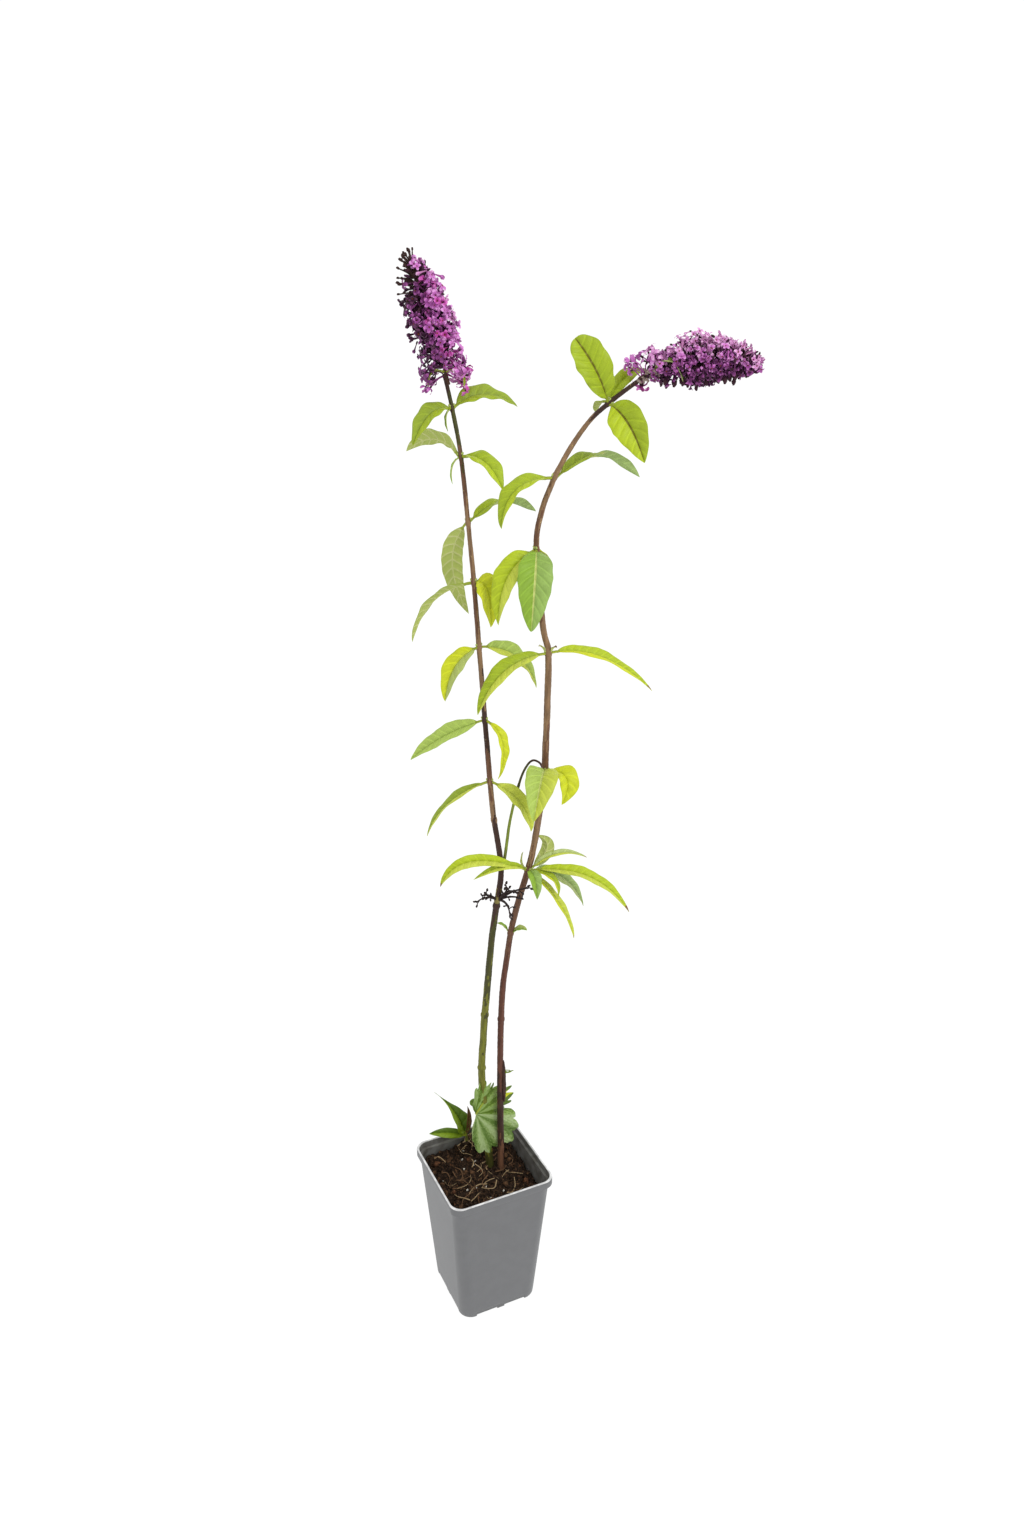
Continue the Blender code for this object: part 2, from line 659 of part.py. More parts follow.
def make_spike(name, spike, parts, look, parent, bracts):
    """A flower spike: its stalk and core, the florets that stand out of them, and its bracts."""
    rng = np.random.default_rng(spike["seed"])
    stalk = [tuple(spike_axis(spike, share)) for share in (0, 0.1, 0.2, 0.3, 0.4)]
    pieces = [tube(name, stalk, (2.5, 2.4, 2.3, 2.2, 2.2), 1), core_mesh(spike)]
    for i in range(spike["florets"]):
        share = 0.12 + 0.88 * (i + 0.5) / spike["florets"]
        angle = i * GOLDEN_ANGLE
        middle, ahead, across, other = spike_frame(spike, min(share, 0.92))
        side = across * math.cos(angle) + other * math.sin(angle)
        reach = spike_radius(spike, share) * (1 + 0.08 * rng.standard_normal())
        lean = 0.15 + 5 * max(share - 0.8, 0) + 0.1 * rng.standard_normal()
        out = (side + ahead * lean).normalized()
        root = CORE_SHARE * 0.6 * reach * (1 - share**6) * min((share - 0.1) / 0.2, 1.0)
        pieces.append(floret_mesh(middle + out * (root * MM), out, reach - root))
    for i in range(spike["loose"]):
        angle = 2 * math.pi * (i + 0.4) / spike["loose"]
        middle, ahead, across, other = spike_frame(spike, 0.09 + 0.05 * (i % 3))
        out = (across * math.cos(angle) + other * math.sin(angle) - ahead * 0.45).normalized()
        pieces.append(floret_mesh(middle, out, spike["droop"] + 2 * (i % 3)))
    for i in range(spike["bare_twigs"]):
        angle = 2 * math.pi * i / spike["bare_twigs"]
        middle, ahead, across, other = spike_frame(spike, 0.86)
        side = (across * math.cos(angle) + other * math.sin(angle)) * 0.5
        end = middle + (ahead + side).normalized() * ((13 + 3 * (i % 2)) * MM)
        pieces.append(twig_mesh([middle, end], (1.4, 1.0)))
    for blade in bracts:
        pieces.append(thickened(leaf_mesh(blade, spike_axis(spike, BRACT_RISE), np.zeros(3)), LEAF_THICK))
    return join_mass(name, pieces, parts, look, parent)


def twig_mesh(points, widths):
    """A thin twig through points already in metres."""
    plain = [(p.x / MM, -p.y / MM, p.z / MM) for p in points]
    return tube("twig", plain, widths, 0)


def make_spent_spike(parts, parent):
    """The dead flower spike: bare twigs from a ring round the fork."""
    place, along, radius = place_on_stem(SPENT_AT, [LEFT_LEADER])
    pieces = [ring_mesh(place, radius, along)]
    for end, bow in SPENT_TWIGS:
        start = root_on_ring(leaf(end, bow, 0), along, radius + CLEAR + 2 * RING_BAR)
        line = np.array(end, float) - start
        points = [
            tuple(place + start + share * line + 4 * share * (1 - share) * np.array(bow))
            for share in (0, 0.25, 0.5, 0.75, 1)
        ]
        pieces.append(tube("twig", points, (1.7, 1.5, 1.3, 1.3, 1.6), 1))
    return join_mass("spent_flower_spike", pieces, parts, ("dead_bark", DEAD_BARK), parent)


def main():
    clear_scene()
    parts = collection("potted_butterfly_bush")
    cutters = collection("cutters")
    plant = bpy.data.objects.new("plant_turn", None)
    parts.objects.link(plant)
    plant.rotation_euler.z = -math.radians(TURN)

    make_pot(parts, cutters)
    make_soil(parts)
    brown = ("brown_bark", BROWN_BARK)
    green = ("green_bark", GREEN_BARK)
    make_stem("left_stem", LEFT_STEM, parts, green, plant)
    make_stem("left_leader", LEFT_LEADER, parts, brown, plant)
    make_stem("right_stem_lower", RIGHT_STEM_LOWER, parts, brown, plant)
    make_stem("right_stem_middle", RIGHT_STEM_MIDDLE, parts, brown, plant)
    make_stem("right_stem_upper", RIGHT_STEM_UPPER, parts, brown, plant)
    make_stem("right_stem_arch", RIGHT_STEM_ARCH, parts, brown, plant)
    make_stem("green_shoot", GREEN_SHOOT, parts, green, plant)
    make_stem("snag_stub", SNAG_STUB, parts, ("dead_bark", DEAD_BARK), plant)
    lime = ("lime_leaf", LIME_LEAF)
    for node in LEFT_NODES:
        make_leaf_mass(node, [LEFT_LEADER], parts, lime, plant)
    right_stems = [RIGHT_STEM_LOWER, RIGHT_STEM_MIDDLE, RIGHT_STEM_UPPER, RIGHT_STEM_ARCH]
    for node in RIGHT_NODES:
        make_leaf_mass(node, right_stems, parts, lime, plant)
    felted = ("felted_leaf", FELTED_LEAF)
    make_leaf_mass(LOW_NODE, [LEFT_STEM], parts, felted, plant)
    make_basal_mass(SOIL_NODE, parts, felted, plant)
    purple = ("purple_flower", PURPLE_FLOWER)
    bracts = [leaf((12, 4, -9), (4, 1, 4), 5), leaf((-11, 4, -9), (-3, 1, 4), 4.5)]
    make_spike("left_flower_spike", LEFT_SPIKE, parts, purple, plant, bracts)
    make_spike("right_flower_spike", RIGHT_SPIKE, parts, purple, plant, [leaf((14, 8, -1), (1, 2, 5), 5)])
    make_spent_spike(parts, plant)


main()
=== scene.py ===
"""The looks of the potted butterfly bush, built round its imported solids.

The plant is described as in its source: across to the right, toward the viewer, and up,
in millimetres. to_frame turns that into the frame's metres. Every shape is gathered in a
Pile, a heap of points, faces and the finish of each face, and a Pile becomes one piece.
"""

import math

import bpy
import numpy as np
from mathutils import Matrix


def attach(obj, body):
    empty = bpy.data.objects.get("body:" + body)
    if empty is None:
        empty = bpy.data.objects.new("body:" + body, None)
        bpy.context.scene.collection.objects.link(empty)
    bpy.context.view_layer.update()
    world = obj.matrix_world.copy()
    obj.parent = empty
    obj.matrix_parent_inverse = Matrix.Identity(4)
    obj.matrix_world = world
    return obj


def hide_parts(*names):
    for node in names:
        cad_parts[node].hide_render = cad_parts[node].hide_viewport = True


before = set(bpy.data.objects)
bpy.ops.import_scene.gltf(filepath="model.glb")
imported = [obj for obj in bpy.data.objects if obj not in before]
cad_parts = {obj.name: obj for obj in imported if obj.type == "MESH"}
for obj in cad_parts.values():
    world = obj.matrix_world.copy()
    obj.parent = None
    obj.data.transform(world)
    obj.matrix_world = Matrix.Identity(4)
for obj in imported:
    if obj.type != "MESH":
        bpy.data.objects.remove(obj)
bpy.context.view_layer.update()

MM = 0.001
TURN = math.radians(25.2)
GOLDEN_ANGLE = math.radians(137.5)
ANY_SPIN = (0, 6.3)
UP = np.array([0.0, 0.0, 1.0])

# The camera, fitted to the corners of the pot: across, toward and up, and how far it looks down
CAMERA_AT = (23.8, 745.7, 761.4)
CAMERA_DOWN = 20.876
CAMERA_LENS = 26.0
SENSOR = 36.0

# One soft light, an even pale world, and a glowing floor, since the photo shows no shadow on it
LIGHT_AT = (900, 900, 1500)
LIGHT_AIM = (20, 0, 450)
LIGHT_WIDE_M = 0.8
LIGHT_WATTS = 9
WORLD_STRENGTH = 1.05
FLOOR_GLOW = 0.95
FLOOR_REACH_M = 40.0
FLOOR_DROP_M = 0.0004
LIGHT_GAIN = 1.3

# Pot and soil, as in the solids
POT_TOP = 90.0
POT_FOOT = 68.0
POT_TALL = 127.0
POT_WALL = 1.3
POT_FLOOR = 2.4
POT_CORNER = 9.5
RIM_TALL = 7.0
RIM_PROUD = 2.2
RIM_LIP = 1.7
NOTCH_TALL = 2.2
NOTCH_DEEP = 9.0
NOTCH_LONG = 19.0
NOTCH_APART = 6.4
SOIL_TOP = 107.0
MOUND_TALL = 14.0
MOUND_AT = (-8.0, -44.0)
MOUND_REACH = 15.0
CRUMB_TALL = 1.6
FLAT_REACH = 18.0
STEMS_AT = (9.5, -17.0)

# What the solids leave out: rounder corners at the foot, and debris against the back left wall
FOOT_ROUNDER = 1.5
BANK_TALL = 8.0
BANK_AT = 42.0
BANK_REACH = 13.0
BANK_ENDS = 14.0
BANK_FADE = 4.0
SOIL_CORNER = 7.4

# The node of the scalloped leaf, and that of the dead spike at the fork
LOW_NODE_AT = (-0.3, -22, 172)
SPENT_AT = (12, -12, 365)

# Stems: each bend, the thickness at the foot and the tip, how far the ends run on into what
# they meet, the bark's tones along the stem, nodes without leaves, and the warts on the bark
LEFT_STEM = dict(
    name="left_stem", slot="green_bark", sides=22, seeds=(11, 12), warts=26,
    foot=6.4, tip=4.6, overlap=(4.0, 1.0),
    route=[(5, -19, 107.5), (-1, -21, 188), (1, -18, 244), (4, -16, 282), (8, -13, 329), (12, -12, 361)],
    zones=[(0, "olive_dark"), (0.12, "olive"), (0.5, "olive"), (0.85, "olive_dark"), (1, "dark")],
    knots=[LOW_NODE_AT, (-0.8, -21, 205), (2, -17, 258), (12, -12, 359)],
)
LEFT_LEADER = dict(
    name="left_leader", slot="brown_bark", sides=18, seeds=(13, 14), warts=30,
    foot=4.3, tip=2.6, overlap=(4.0, 3.0),
    route=[
        (12.2, -12, 361.4), (15.5, -11, 392), (10.5, -8, 433), (7.8, -6, 464), (4.6, -3, 512), (1, -1, 566),
        (-2, -1, 611), (-5.5, -3, 651), (-9.6, -6, 693), (-15, -9, 723), (-19, -10, 741),
    ],
    zones=[
        (0, "tan_green"), (0.06, "dark"), (0.15, "dark"), (0.22, "tan"), (0.3, "brown"), (0.38, "dark"),
        (0.5, "tan"), (0.62, "brown"), (0.72, "tan"), (0.82, "brown"), (0.92, "olive_dark"), (1, "dark"),
    ],
    knots=[(10.5, -8, 433), SPENT_AT],
)
RIGHT_STEM_LOWER = dict(
    name="right_stem_lower", seeds=(21, 31), foot=5.4, tip=4.4, overlap=(4.0, 1.5),
    route=[(14.5, -14, 107.5), (14, -22, 208), (16, -24, 273), (20, -25, 308), (23, -24, 331.5)],
    zones=[(0, "brown"), (0.2, "dark"), (0.45, "red_brown"), (0.8, "red_brown"), (1, "brown")],
)
RIGHT_STEM_MIDDLE = dict(
    name="right_stem_middle", seeds=(22, 32), foot=4.5, tip=5.0, overlap=(1.5, 1.5),
    route=[
        (23.2, -24, 332.1), (29, -22, 359), (36, -20, 386), (40.5, -18, 408), (45.5, -15, 446),
        (48, -13, 470.5),
    ],
    zones=[(0, "brown"), (0.35, "brown"), (0.6, "tan"), (1, "brown")],
)
RIGHT_STEM_UPPER = dict(
    name="right_stem_upper", seeds=(23, 33), foot=4.9, tip=3.4, overlap=(1.5, 1.5),
    route=[
        (48, -13, 471.1), (49, -8, 526), (49, -4, 561), (45, -2, 581.5), (40, 4, 634), (43, 8, 659),
        (51.5, 12, 683),
    ],
    zones=[(0, "brown"), (0.25, "tan"), (0.5, "tan"), (0.7, "brown"), (1, "tan")],
)
RIGHT_STEM_ARCH = dict(
    name="right_stem_arch", seeds=(24, 34), foot=3.4, tip=2.5, overlap=(1.5, 3.0),
    route=[
        (51.8, 12.2, 683.7), (61.5, 15, 701), (73, 17.5, 717.5), (84, 20, 727.5), (94, 23, 735.5),
        (105, 26, 743.5),
    ],
    zones=[(0, "tan"), (0.45, "tan"), (0.6, "dark"), (1, "dark")],
)
RIGHT_STEMS = [RIGHT_STEM_LOWER, RIGHT_STEM_MIDDLE, RIGHT_STEM_UPPER, RIGHT_STEM_ARCH]
for right_stem in RIGHT_STEMS:
    right_stem.update(slot="brown_bark", sides=18, warts=16, knots=[(14.8, -23, 250)])
GREEN_SHOOT = dict(
    name="green_shoot", slot="green_bark", sides=12, seeds=(41, 0), warts=0,
    foot=2.4, tip=1.6, overlap=None,
    route=[
        (17.7, -13, 396), (19, -15, 404), (22.5, -20, 428), (28.5, -24, 453), (33, -26, 465.5),
        (38.5, -27, 472.5), (44, -26, 471.5), (47, -24, 467),
    ],
    zones=[(0, "moss"), (0.15, "lime_green"), (0.5, "lime_green"), (0.72, "olive_dark"), (1, "dark")],
    knots=[(28.5, -24, 453)],
)
SNAG_ROUTE = [(17.8, -21.8, 211), (18.1, -20.6, 195), (18.4, -18.4, 173)]
SNAG_WIDE = 3.4
SNAG_SHIFT = (-1.0, 0, 0)


def leaf(tip, bow, wide, facing=0, fold=16, twist=0, peak=0.45, root=None, taper=0.85,
         near="lime", far=None, tail=0.0, end=None, rib="plain"):
    """A leaf by where its tip lies from its node, how far its midrib bows off the straight line
    and its width. Facing turns its upper face to the viewer, fold lifts its two halves, twist
    turns it on toward its tip, all in degrees. Peak is where its bow is fullest, and root the
    way it leaves its stem, where that isn't plain. The less its taper, the blunter its tip.
    Near and far are the tones of its halves toward and away from the viewer; where they differ, that is
    partly the leaf's own tint and partly painted light and shade, one half lit and the other turned from the
    light. End is the tone past its middle where that differs, a pale tone with painted sheen on twisted tips,
    and tail the share of its length gone brown."""
    return dict(tip=tip, bow=bow, wide=wide, facing=facing, fold=fold, twist=twist, peak=peak, root=root,
                taper=taper, near=near, far=far or near, tail=tail, end=end, rib=rib)


# Leaf pairs: their node in the solids, its place, and the leaves on it
LEFT_NODES = [
    ("left_leaves_1", (-15, -9, 723), [
        leaf((42.5, -16, 0.5), (-1, 0, 8), 15, facing=34, far="dull_in_shade"),
        leaf((-25, 16, -22), (-1.8, 2, 7.3), 14, facing=20, far="dull_in_shade"),
        leaf((-3, 6, -14), (-2, 0, 2), 2.2, near="deep"),
    ]),
    ("left_leaves_2", (-9.6, -6, 693), [
        leaf((27.5, 20, -19), (3, 2, 6.2), 14.5, facing=15, near="bright", far="lime"),
        leaf((-37.5, -20, 2), (0.8, 0, 9.5), 14, facing=-42, near="pale", far="dull_in_shade", rib="pale"),
        leaf((-6, 5, -17), (-2.5, 0, 2), 2.2, near="green"),
    ]),
    ("left_leaves_3", (-5.5, -3, 651), [
        leaf((45.5, -14, 5.5), (0, 0, 9.5), 12, facing=50, twist=-115, end="pale_with_painted_sheen"),
        leaf((-1, -16, -65.5), (-10.8, -5, 1.5), 14, facing=-55, near="pale", rib="pale"),
    ]),
    ("left_leaves_4", (-2, -1, 611), [
        leaf((11.5, 6, -29.5), (3.2, 1, 9.5), 21, facing=25, near="yellow"),
        leaf((-44.5, -14, -44.5), (-6.5, -2, 7), 10, facing=-15, near="dull_in_shade", far="pale"),
    ]),
    ("left_leaves_5", (1, -1, 566), [
        leaf((40.5, -18, -34.5), (5.8, -2, 7.3), 14, facing=40, near="light", far="fresh"),
        leaf((-23.3, 18, -33.5), (-4.7, 3, 5.6), 15, facing=22, near="pale", far="yellow"),
    ]),
    ("left_leaves_6", (4.6, -3, 512), [
        leaf((9.5, 10, -41), (7.7, 4, 5.5), 8.5, facing=10, near="yellow"),
        leaf((-55, -10, -33.5), (-3, -1, 2.2), 13.5, facing=50, near="fresh"),
    ]),
    ("left_leaves_7", (7.8, -6, 464), [
        leaf((30, 14, -33.5), (7, 2.5, 3.5), 14, facing=18, near="light"),
        leaf((-48, -8, -47), (-6.2, -1, 4), 10, facing=20, near="light", far="dull_in_shade"),
    ]),
]
RIGHT_NODES = [
    ("right_leaves_1", (84, 20, 727.5), [
        leaf((-22.3, 10, 37.8), (1.8, 4, 1), 21, facing=10, taper=0.42, rib="brown"),
        leaf((22, 16, -34.5), (1.3, 3.5, 4.6), 21, facing=45, near="bright", far="lime", rib="brown"),
        leaf((22.5, -12, 19.5), (-1.5, 1, 4.5), 9, facing=45),
        leaf((-6.3, -13, -7), (-2.5, 0, 2.5), 5.5, facing=-30, far="dull_in_shade"),
    ]),
    ("right_leaves_2", (51.3, 12, 682), [
        leaf((56.5, -12, -0.5), (1, 0, 13.8), 13, facing=50, twist=-115, far="dull_in_shade", end="pale_with_painted_sheen"),
        leaf((-34, 14, -30), (-8.2, 2.5, 7.5), 15, facing=22, near="bright", far="lime"),
    ]),
    ("right_leaves_3", (40, 4, 634), [
        leaf((-3.5, 24, -50), (0.5, 10, 7), 22, fold=10, peak=0.35, taper=0.72, near="green", far="bluish",
             rib="pale"),
        leaf((-25.5, 14, -48), (-7, 5, 6), 17, facing=30, taper=1.0, near="light", far="bright"),
        leaf((7, -10, -30), (4, -2, 3), 6, near="yellow", far="lime"),
    ]),
    ("right_leaves_4", (49, -4, 561), [
        leaf((75, -10, -30.2), (2.4, -1, 9.8), 10, facing=30, peak=0.4, near="yellow", far="bright",
             tail=0.05),
        leaf((-49, 22, -38), (-7, 4, 9), 13.5, facing=22, near="light", far="lime"),
        leaf((-7, 3, 6), (0, 0, 2), 2.4, near="cream"),
        leaf((6, 3, 5), (0, 0, 2), 2.4, near="brown"),
    ]),
    ("right_leaves_5", (48, -13, 470), [
        leaf((-9, 36, -26), (0.8, 5, 11.3), 23, fold=20, peak=0.4, near="light", far="fresh", rib="pale"),
        leaf((12, 16, -21), (9, 2, 7), 18, facing=30, near="yellow"),
    ]),
    ("right_leaves_6", (36, -20, 386), [
        leaf((-66, 23, -3), (-10.5, 14, 20.5), 8.5, facing=28, near="light", far="bright", tail=0.04),
        leaf((-41, 20, 1.5), (1.8, 4, 9), 5, facing=25, near="light", far="lime"),
        leaf((78, 8, -32), (8, 0, 12), 10, facing=28, near="light", far="bright", tail=0.06),
        leaf((7, 15, -18), (1.8, 4, 6), 9, peak=0.35, near="green", far="bluish"),
        leaf((36, 10, -54), (6.3, 1, 0.3), 6.5, facing=20, near="yellow", far="light", tail=0.04),
        leaf((23, 10, -18.5), (7, 1, 4.5), 5.5, facing=20, near="yellow", far="lime"),
        leaf((44.5, -16, -39.5), (5.3, -1, 8), 11, facing=36, near="silvery", far="pale_with_painted_sheen"),
        leaf((7.5, -10, 24.3), (10.5, -3, 3), 9.5, facing=-62, near="silvery"),
        leaf((46, -14, 4), (0, 0, 9), 4.5, facing=25, near="light", far="silvery", tail=0.04),
        leaf((-4, -3, 14), (-2, 0, -1), 4, near="cream", far="silvery"),
    ]),
    ("right_leaves_7", (22.9, -24, 329), [
        leaf((-11, -2, 7), (0, 0, 2), 3, near="pale", far="green"),
        leaf((13, 4, 4), (0, 0, 3), 4, facing=25, near="green", far="pale"),
    ]),
]

# Basal leaves: a tooth beside the scalloped leaf on the left stem, and a tuft by the wall
LOW_TOOTH = leaf((-11, 6, 4), (0.4, 1, 0), 7, fold=0, root=(0, 1, 0), taper=0.5, near="dark_green")
SOIL_NODE = (-16, -32, 127)
SOIL_LEAVES = [
    leaf((-26, -5, 41), (4, 1, 3), 16, facing=30, fold=24, taper=2.4, near="deep", far="dark_green"),
    leaf((-30.5, 9, 9), (0, 1, 3), 7.5, facing=40, near="deep", far="dark_green"),
    leaf((2, -3, 28), (2, 0, 0), 3.4, facing=60, near="brown"),
]

# How far the scalloped leaf reaches from its stalk, by degrees above the way right
FAN_AT = (-6.4, -12.1, 165.0)
FAN_REACH = [
    (-112, 11), (-104, 21), (-93, 35), (-76, 41), (-61, 43), (-54, 49), (-46, 52), (-37, 51), (-26, 47),
    (-18, 40), (-15, 31), (-10, 34), (-2, 38), (8, 40), (15, 40), (20, 35), (37, 29), (67, 29), (80, 26),
    (87, 23), (93, 9), (112, 4),
]
FAN_LOBES = 12.9
FAN_NOTCH = math.radians(-15)
FAN_CREASE = 0.42
FAN_RIGHT = np.array([0.822, -0.57, 0.0])
FAN_FRONT = np.array([0.57, 0.82, 0.0])

# Flower spikes: from the foot of the spike to its tip, the half widths along it, its dense
# florets, and its loose ones, which head for aims in degrees clockwise from up
LEFT_SPIKE = dict(
    foot=(-18.1, -10, 741.6), tip=(-39, -18, 809), bow=(0.8, 0, 0.5),
    half_width=(11, 14.5, 16, 15, 13.3, 8),
    florets=480, first=0.1, last=0.95, seed=3, lobe=(2.9, 2.3), sizes=(0.8, 1.2),
    loose=[
        # Loose florets to the right take light tones and those to the left dark ones: painted light and
        # shade.
        dict(count=22, between=(0.02, 0.2), long=16, down=4, aims=(55, 118),
             tones=["magenta", "orchid", "pink", "orchid"]),
        dict(count=16, between=(0.0, 0.2), long=16, down=6, aims=(-130, -60),
             tones=["purple", "dark", "purple", "violet"]),
        dict(count=5, between=(0.08, 0.2), long=8, down=3, aims=(-60, 60), tones=["violet", "magenta"]),
    ],
)
LEFT_BRACTS = [leaf((12, 4, -9), (4, 1, 4), 5), leaf((-11, 4, -9), (-3, 1, 4), 4.5)]
RIGHT_SPIKE = dict(
    foot=(105.4, 26.1, 743.7), tip=(170.5, 44.4, 749.8), bow=(0, 0, 7),
    half_width=(5, 10.5, 16, 14.4, 11.2, 5.5),
    florets=600, first=0.06, last=0.98, seed=8, lobe=(2.4, 1.9), sizes=(0.75, 1.1),
    loose=[
        dict(count=20, between=(-0.04, 0.2), long=13, down=0, aims=(-75, 40),
             tones=["pink", "orchid", "pink", "orchid"]),
        dict(count=2, between=(-0.04, 0.0), long=8, down=3, aims=(150, 190), tones=["magenta"]),
    ],
)
RIGHT_BRACT = leaf((19, 10, -6), (2, 3, 9), 5.5, near="silvery", far="green")
BRACT_AT = 0.05

# How the lobes of a floret curl, from an angle above level at the throat to one at the tip
FLORET_STATES = ((20, -35), (55, 5), (5, -110), (70, 130), (40, -30), (75, 20), (-20, -80))
LOOSE_STATES = ((55, -110), (30, 150), (10, -70))

# The dead spike at the fork: the end of each twig, and how far it bows
SPENT_TWIGS = [
    ((-15.5, 9, 2), (0, 1, 3)), ((6, 7, 15), (3, 0, 1)), ((13, 10, 12), (-1, 0, 2)), ((23, 6, 12), (0, 0, 2)),
    ((19, 6, 3), (0, 0, 2)), ((9.5, 8, -11), (2, 1, 3)), ((-10, 6, 6), (0, 0, 1)),
]


# Finishes

FINISHES = []
FINISH_NUMBERS = {}
PATCH_EDGES = (0.36, 0.62)
PATCH_DETAIL = 6.0
GRAIN_DETAIL = 4.0


def lit(red, green, blue):
    """The linear colour of a surface that shows as this screen colour under the scene's light."""
    shares = np.array([red, green, blue], float) / 255
    linear = np.where(shares > 0.04045, ((shares + 0.055) / 1.055) ** 2.4, shares / 12.92)
    return tuple(linear / LIGHT_GAIN)


def shaded(colour, factor):
    return tuple(share * factor for share in colour)


def noise_texture(tree, mapping, size, detail):
    made = tree.nodes.new("ShaderNodeTexNoise")
    made.inputs["Scale"].default_value = 1 / (size * MM)
    made.inputs["Detail"].default_value = detail
    tree.links.new(mapping.outputs["Vector"], made.inputs["Vector"])
    return made.outputs["Fac"]


def finish(name, colour, rough, specular=0.5, sheen=0.0, second=None, patch_size=3.0, rough_swing=0.0,
           grain=0.0, grain_size=1.0, stretch=(1, 1, 1)):
    """A Principled material. It may have patches of a second colour, a roughness that swings with
    them, and a grain that stands up from its surface. Sizes are in millimetres."""
    made = bpy.data.materials.new(name)
    made.use_nodes = True
    tree = made.node_tree
    shader = tree.nodes["Principled BSDF"]
    shader.inputs["Base Color"].default_value = (*colour, 1.0)
    shader.inputs["Roughness"].default_value = rough
    shader.inputs["Specular IOR Level"].default_value = specular
    shader.inputs["Sheen Weight"].default_value = sheen
    if second or grain:
        where = tree.nodes.new("ShaderNodeTexCoord")
        mapping = tree.nodes.new("ShaderNodeMapping")
        mapping.inputs["Scale"].default_value = stretch
        tree.links.new(where.outputs["Object"], mapping.inputs["Vector"])
    if second:
        patches = noise_texture(tree, mapping, patch_size, PATCH_DETAIL)
        ramp = tree.nodes.new("ShaderNodeValToRGB")
        for element, place, shown in zip(ramp.color_ramp.elements, PATCH_EDGES, (second, colour)):
            element.position = place
            element.color = (*shown, 1.0)
        tree.links.new(patches, ramp.inputs["Fac"])
        tree.links.new(ramp.outputs["Color"], shader.inputs["Base Color"])
    if rough_swing:
        spread = tree.nodes.new("ShaderNodeMapRange")
        spread.inputs["To Min"].default_value = rough - rough_swing
        spread.inputs["To Max"].default_value = rough + rough_swing
        tree.links.new(patches, spread.inputs["Value"])
        tree.links.new(spread.outputs["Result"], shader.inputs["Roughness"])
    if grain:
        bump = tree.nodes.new("ShaderNodeBump")
        bump.inputs["Strength"].default_value = 1.0
        bump.inputs["Distance"].default_value = grain * MM
        tree.links.new(noise_texture(tree, mapping, grain_size, GRAIN_DETAIL), bump.inputs["Height"])
        tree.links.new(bump.outputs["Normal"], shader.inputs["Normal"])
    FINISH_NUMBERS[name] = len(FINISHES)
    FINISHES.append(made)
    return made


def number(name):
    return FINISH_NUMBERS[name]


# Some of these tones are painted light and shade: a brighter and a darker lime for leaf halves that face the
# light and that are turned from it, a pale tone with painted sheen for twisted tips, and the light and dark
# sage for the scalloped leaf's lit ridges and shaded folds.
LEAF_TONES = {
    "lime": (168, 190, 36),
    "bright": (186, 206, 34),
    "yellow": (212, 221, 32),
    "light": (206, 218, 78),
    "green": (146, 184, 58),
    "bluish": (156, 189, 94),
    "pale_with_painted_sheen": (166, 192, 112),
    "dull_in_shade": (154, 176, 46),
    "pale": (184, 200, 108),
    "silvery": (190, 206, 130),
    "cream": (206, 204, 160),
    "fresh": (182, 208, 96),
    "deep": (128, 156, 28),
    "brown": (120, 86, 52),
    "sage": (146, 174, 98),
    "sage_lit_ridge": (172, 196, 132),
    "sage_shaded_fold": (104, 136, 58),
    "mid_green": (140, 172, 80),
    "dark_green": (96, 126, 32),
}
LEAF_SHADES = (0.93, 1.0, 1.06)
LEAF_PATCH = 0.93
VEIN_LIFT = 1.1
PLAIN_RIB = 0.84
LEAF_SHINE = 0.28

# In FINISHES, how far a tone's vein and its plain rib come after its first shade
VEIN_AFTER = 3
RIB_AFTER = 4


def make_leaf_finishes():
    """Each tone in three shades, then its veins and its plain rib."""
    for name, screen in LEAF_TONES.items():
        colour = lit(*screen)
        for step, factor in enumerate(LEAF_SHADES):
            shade = shaded(colour, factor)
            finish(f"leaf_{name}_{step}", shade, 0.5, LEAF_SHINE, second=shaded(shade, LEAF_PATCH),
                   patch_size=2.0, grain=0.09, grain_size=0.6)
        finish(f"leaf_{name}_vein", shaded(colour, VEIN_LIFT), 0.5, LEAF_SHINE)
        finish(f"leaf_{name}_rib", shaded(colour, PLAIN_RIB), 0.5, LEAF_SHINE)
    finish("leaf_rib_pale", lit(206, 216, 128), 0.5, LEAF_SHINE)
    finish("leaf_rib_brown", lit(132, 130, 40), 0.55, LEAF_SHINE)
    finish("leaf_under", lit(186, 200, 108), 0.7, 0.2, grain=0.15, grain_size=0.8)
    finish("leaf_under_rib", lit(204, 210, 138), 0.7, 0.2)
    finish("leaf_stalk", lit(158, 172, 52), 0.6, LEAF_SHINE)
    finish("leaf_dry", lit(140, 100, 56), 0.7, grain=0.1, grain_size=0.8)


BARK_TONES = {
    "olive": (126, 128, 40),
    "olive_dark": (78, 78, 28),
    "lime_green": (146, 164, 60),
    "tan": (156, 122, 88),
    "tan_green": (150, 136, 72),
    "brown": (122, 84, 60),
    "red_brown": (106, 64, 48),
    "dark": (70, 44, 34),
    "black": (46, 30, 26),
    "moss": (120, 126, 48),
    "scar": (200, 180, 104),
}


def make_bark_finishes():
    for name, screen in BARK_TONES.items():
        colour = lit(*screen)
        finish(f"bark_{name}", colour, 0.62, 0.3, second=shaded(colour, 0.6), patch_size=2.0,
               grain=0.22, grain_size=0.5, stretch=(1, 1, 0.16))


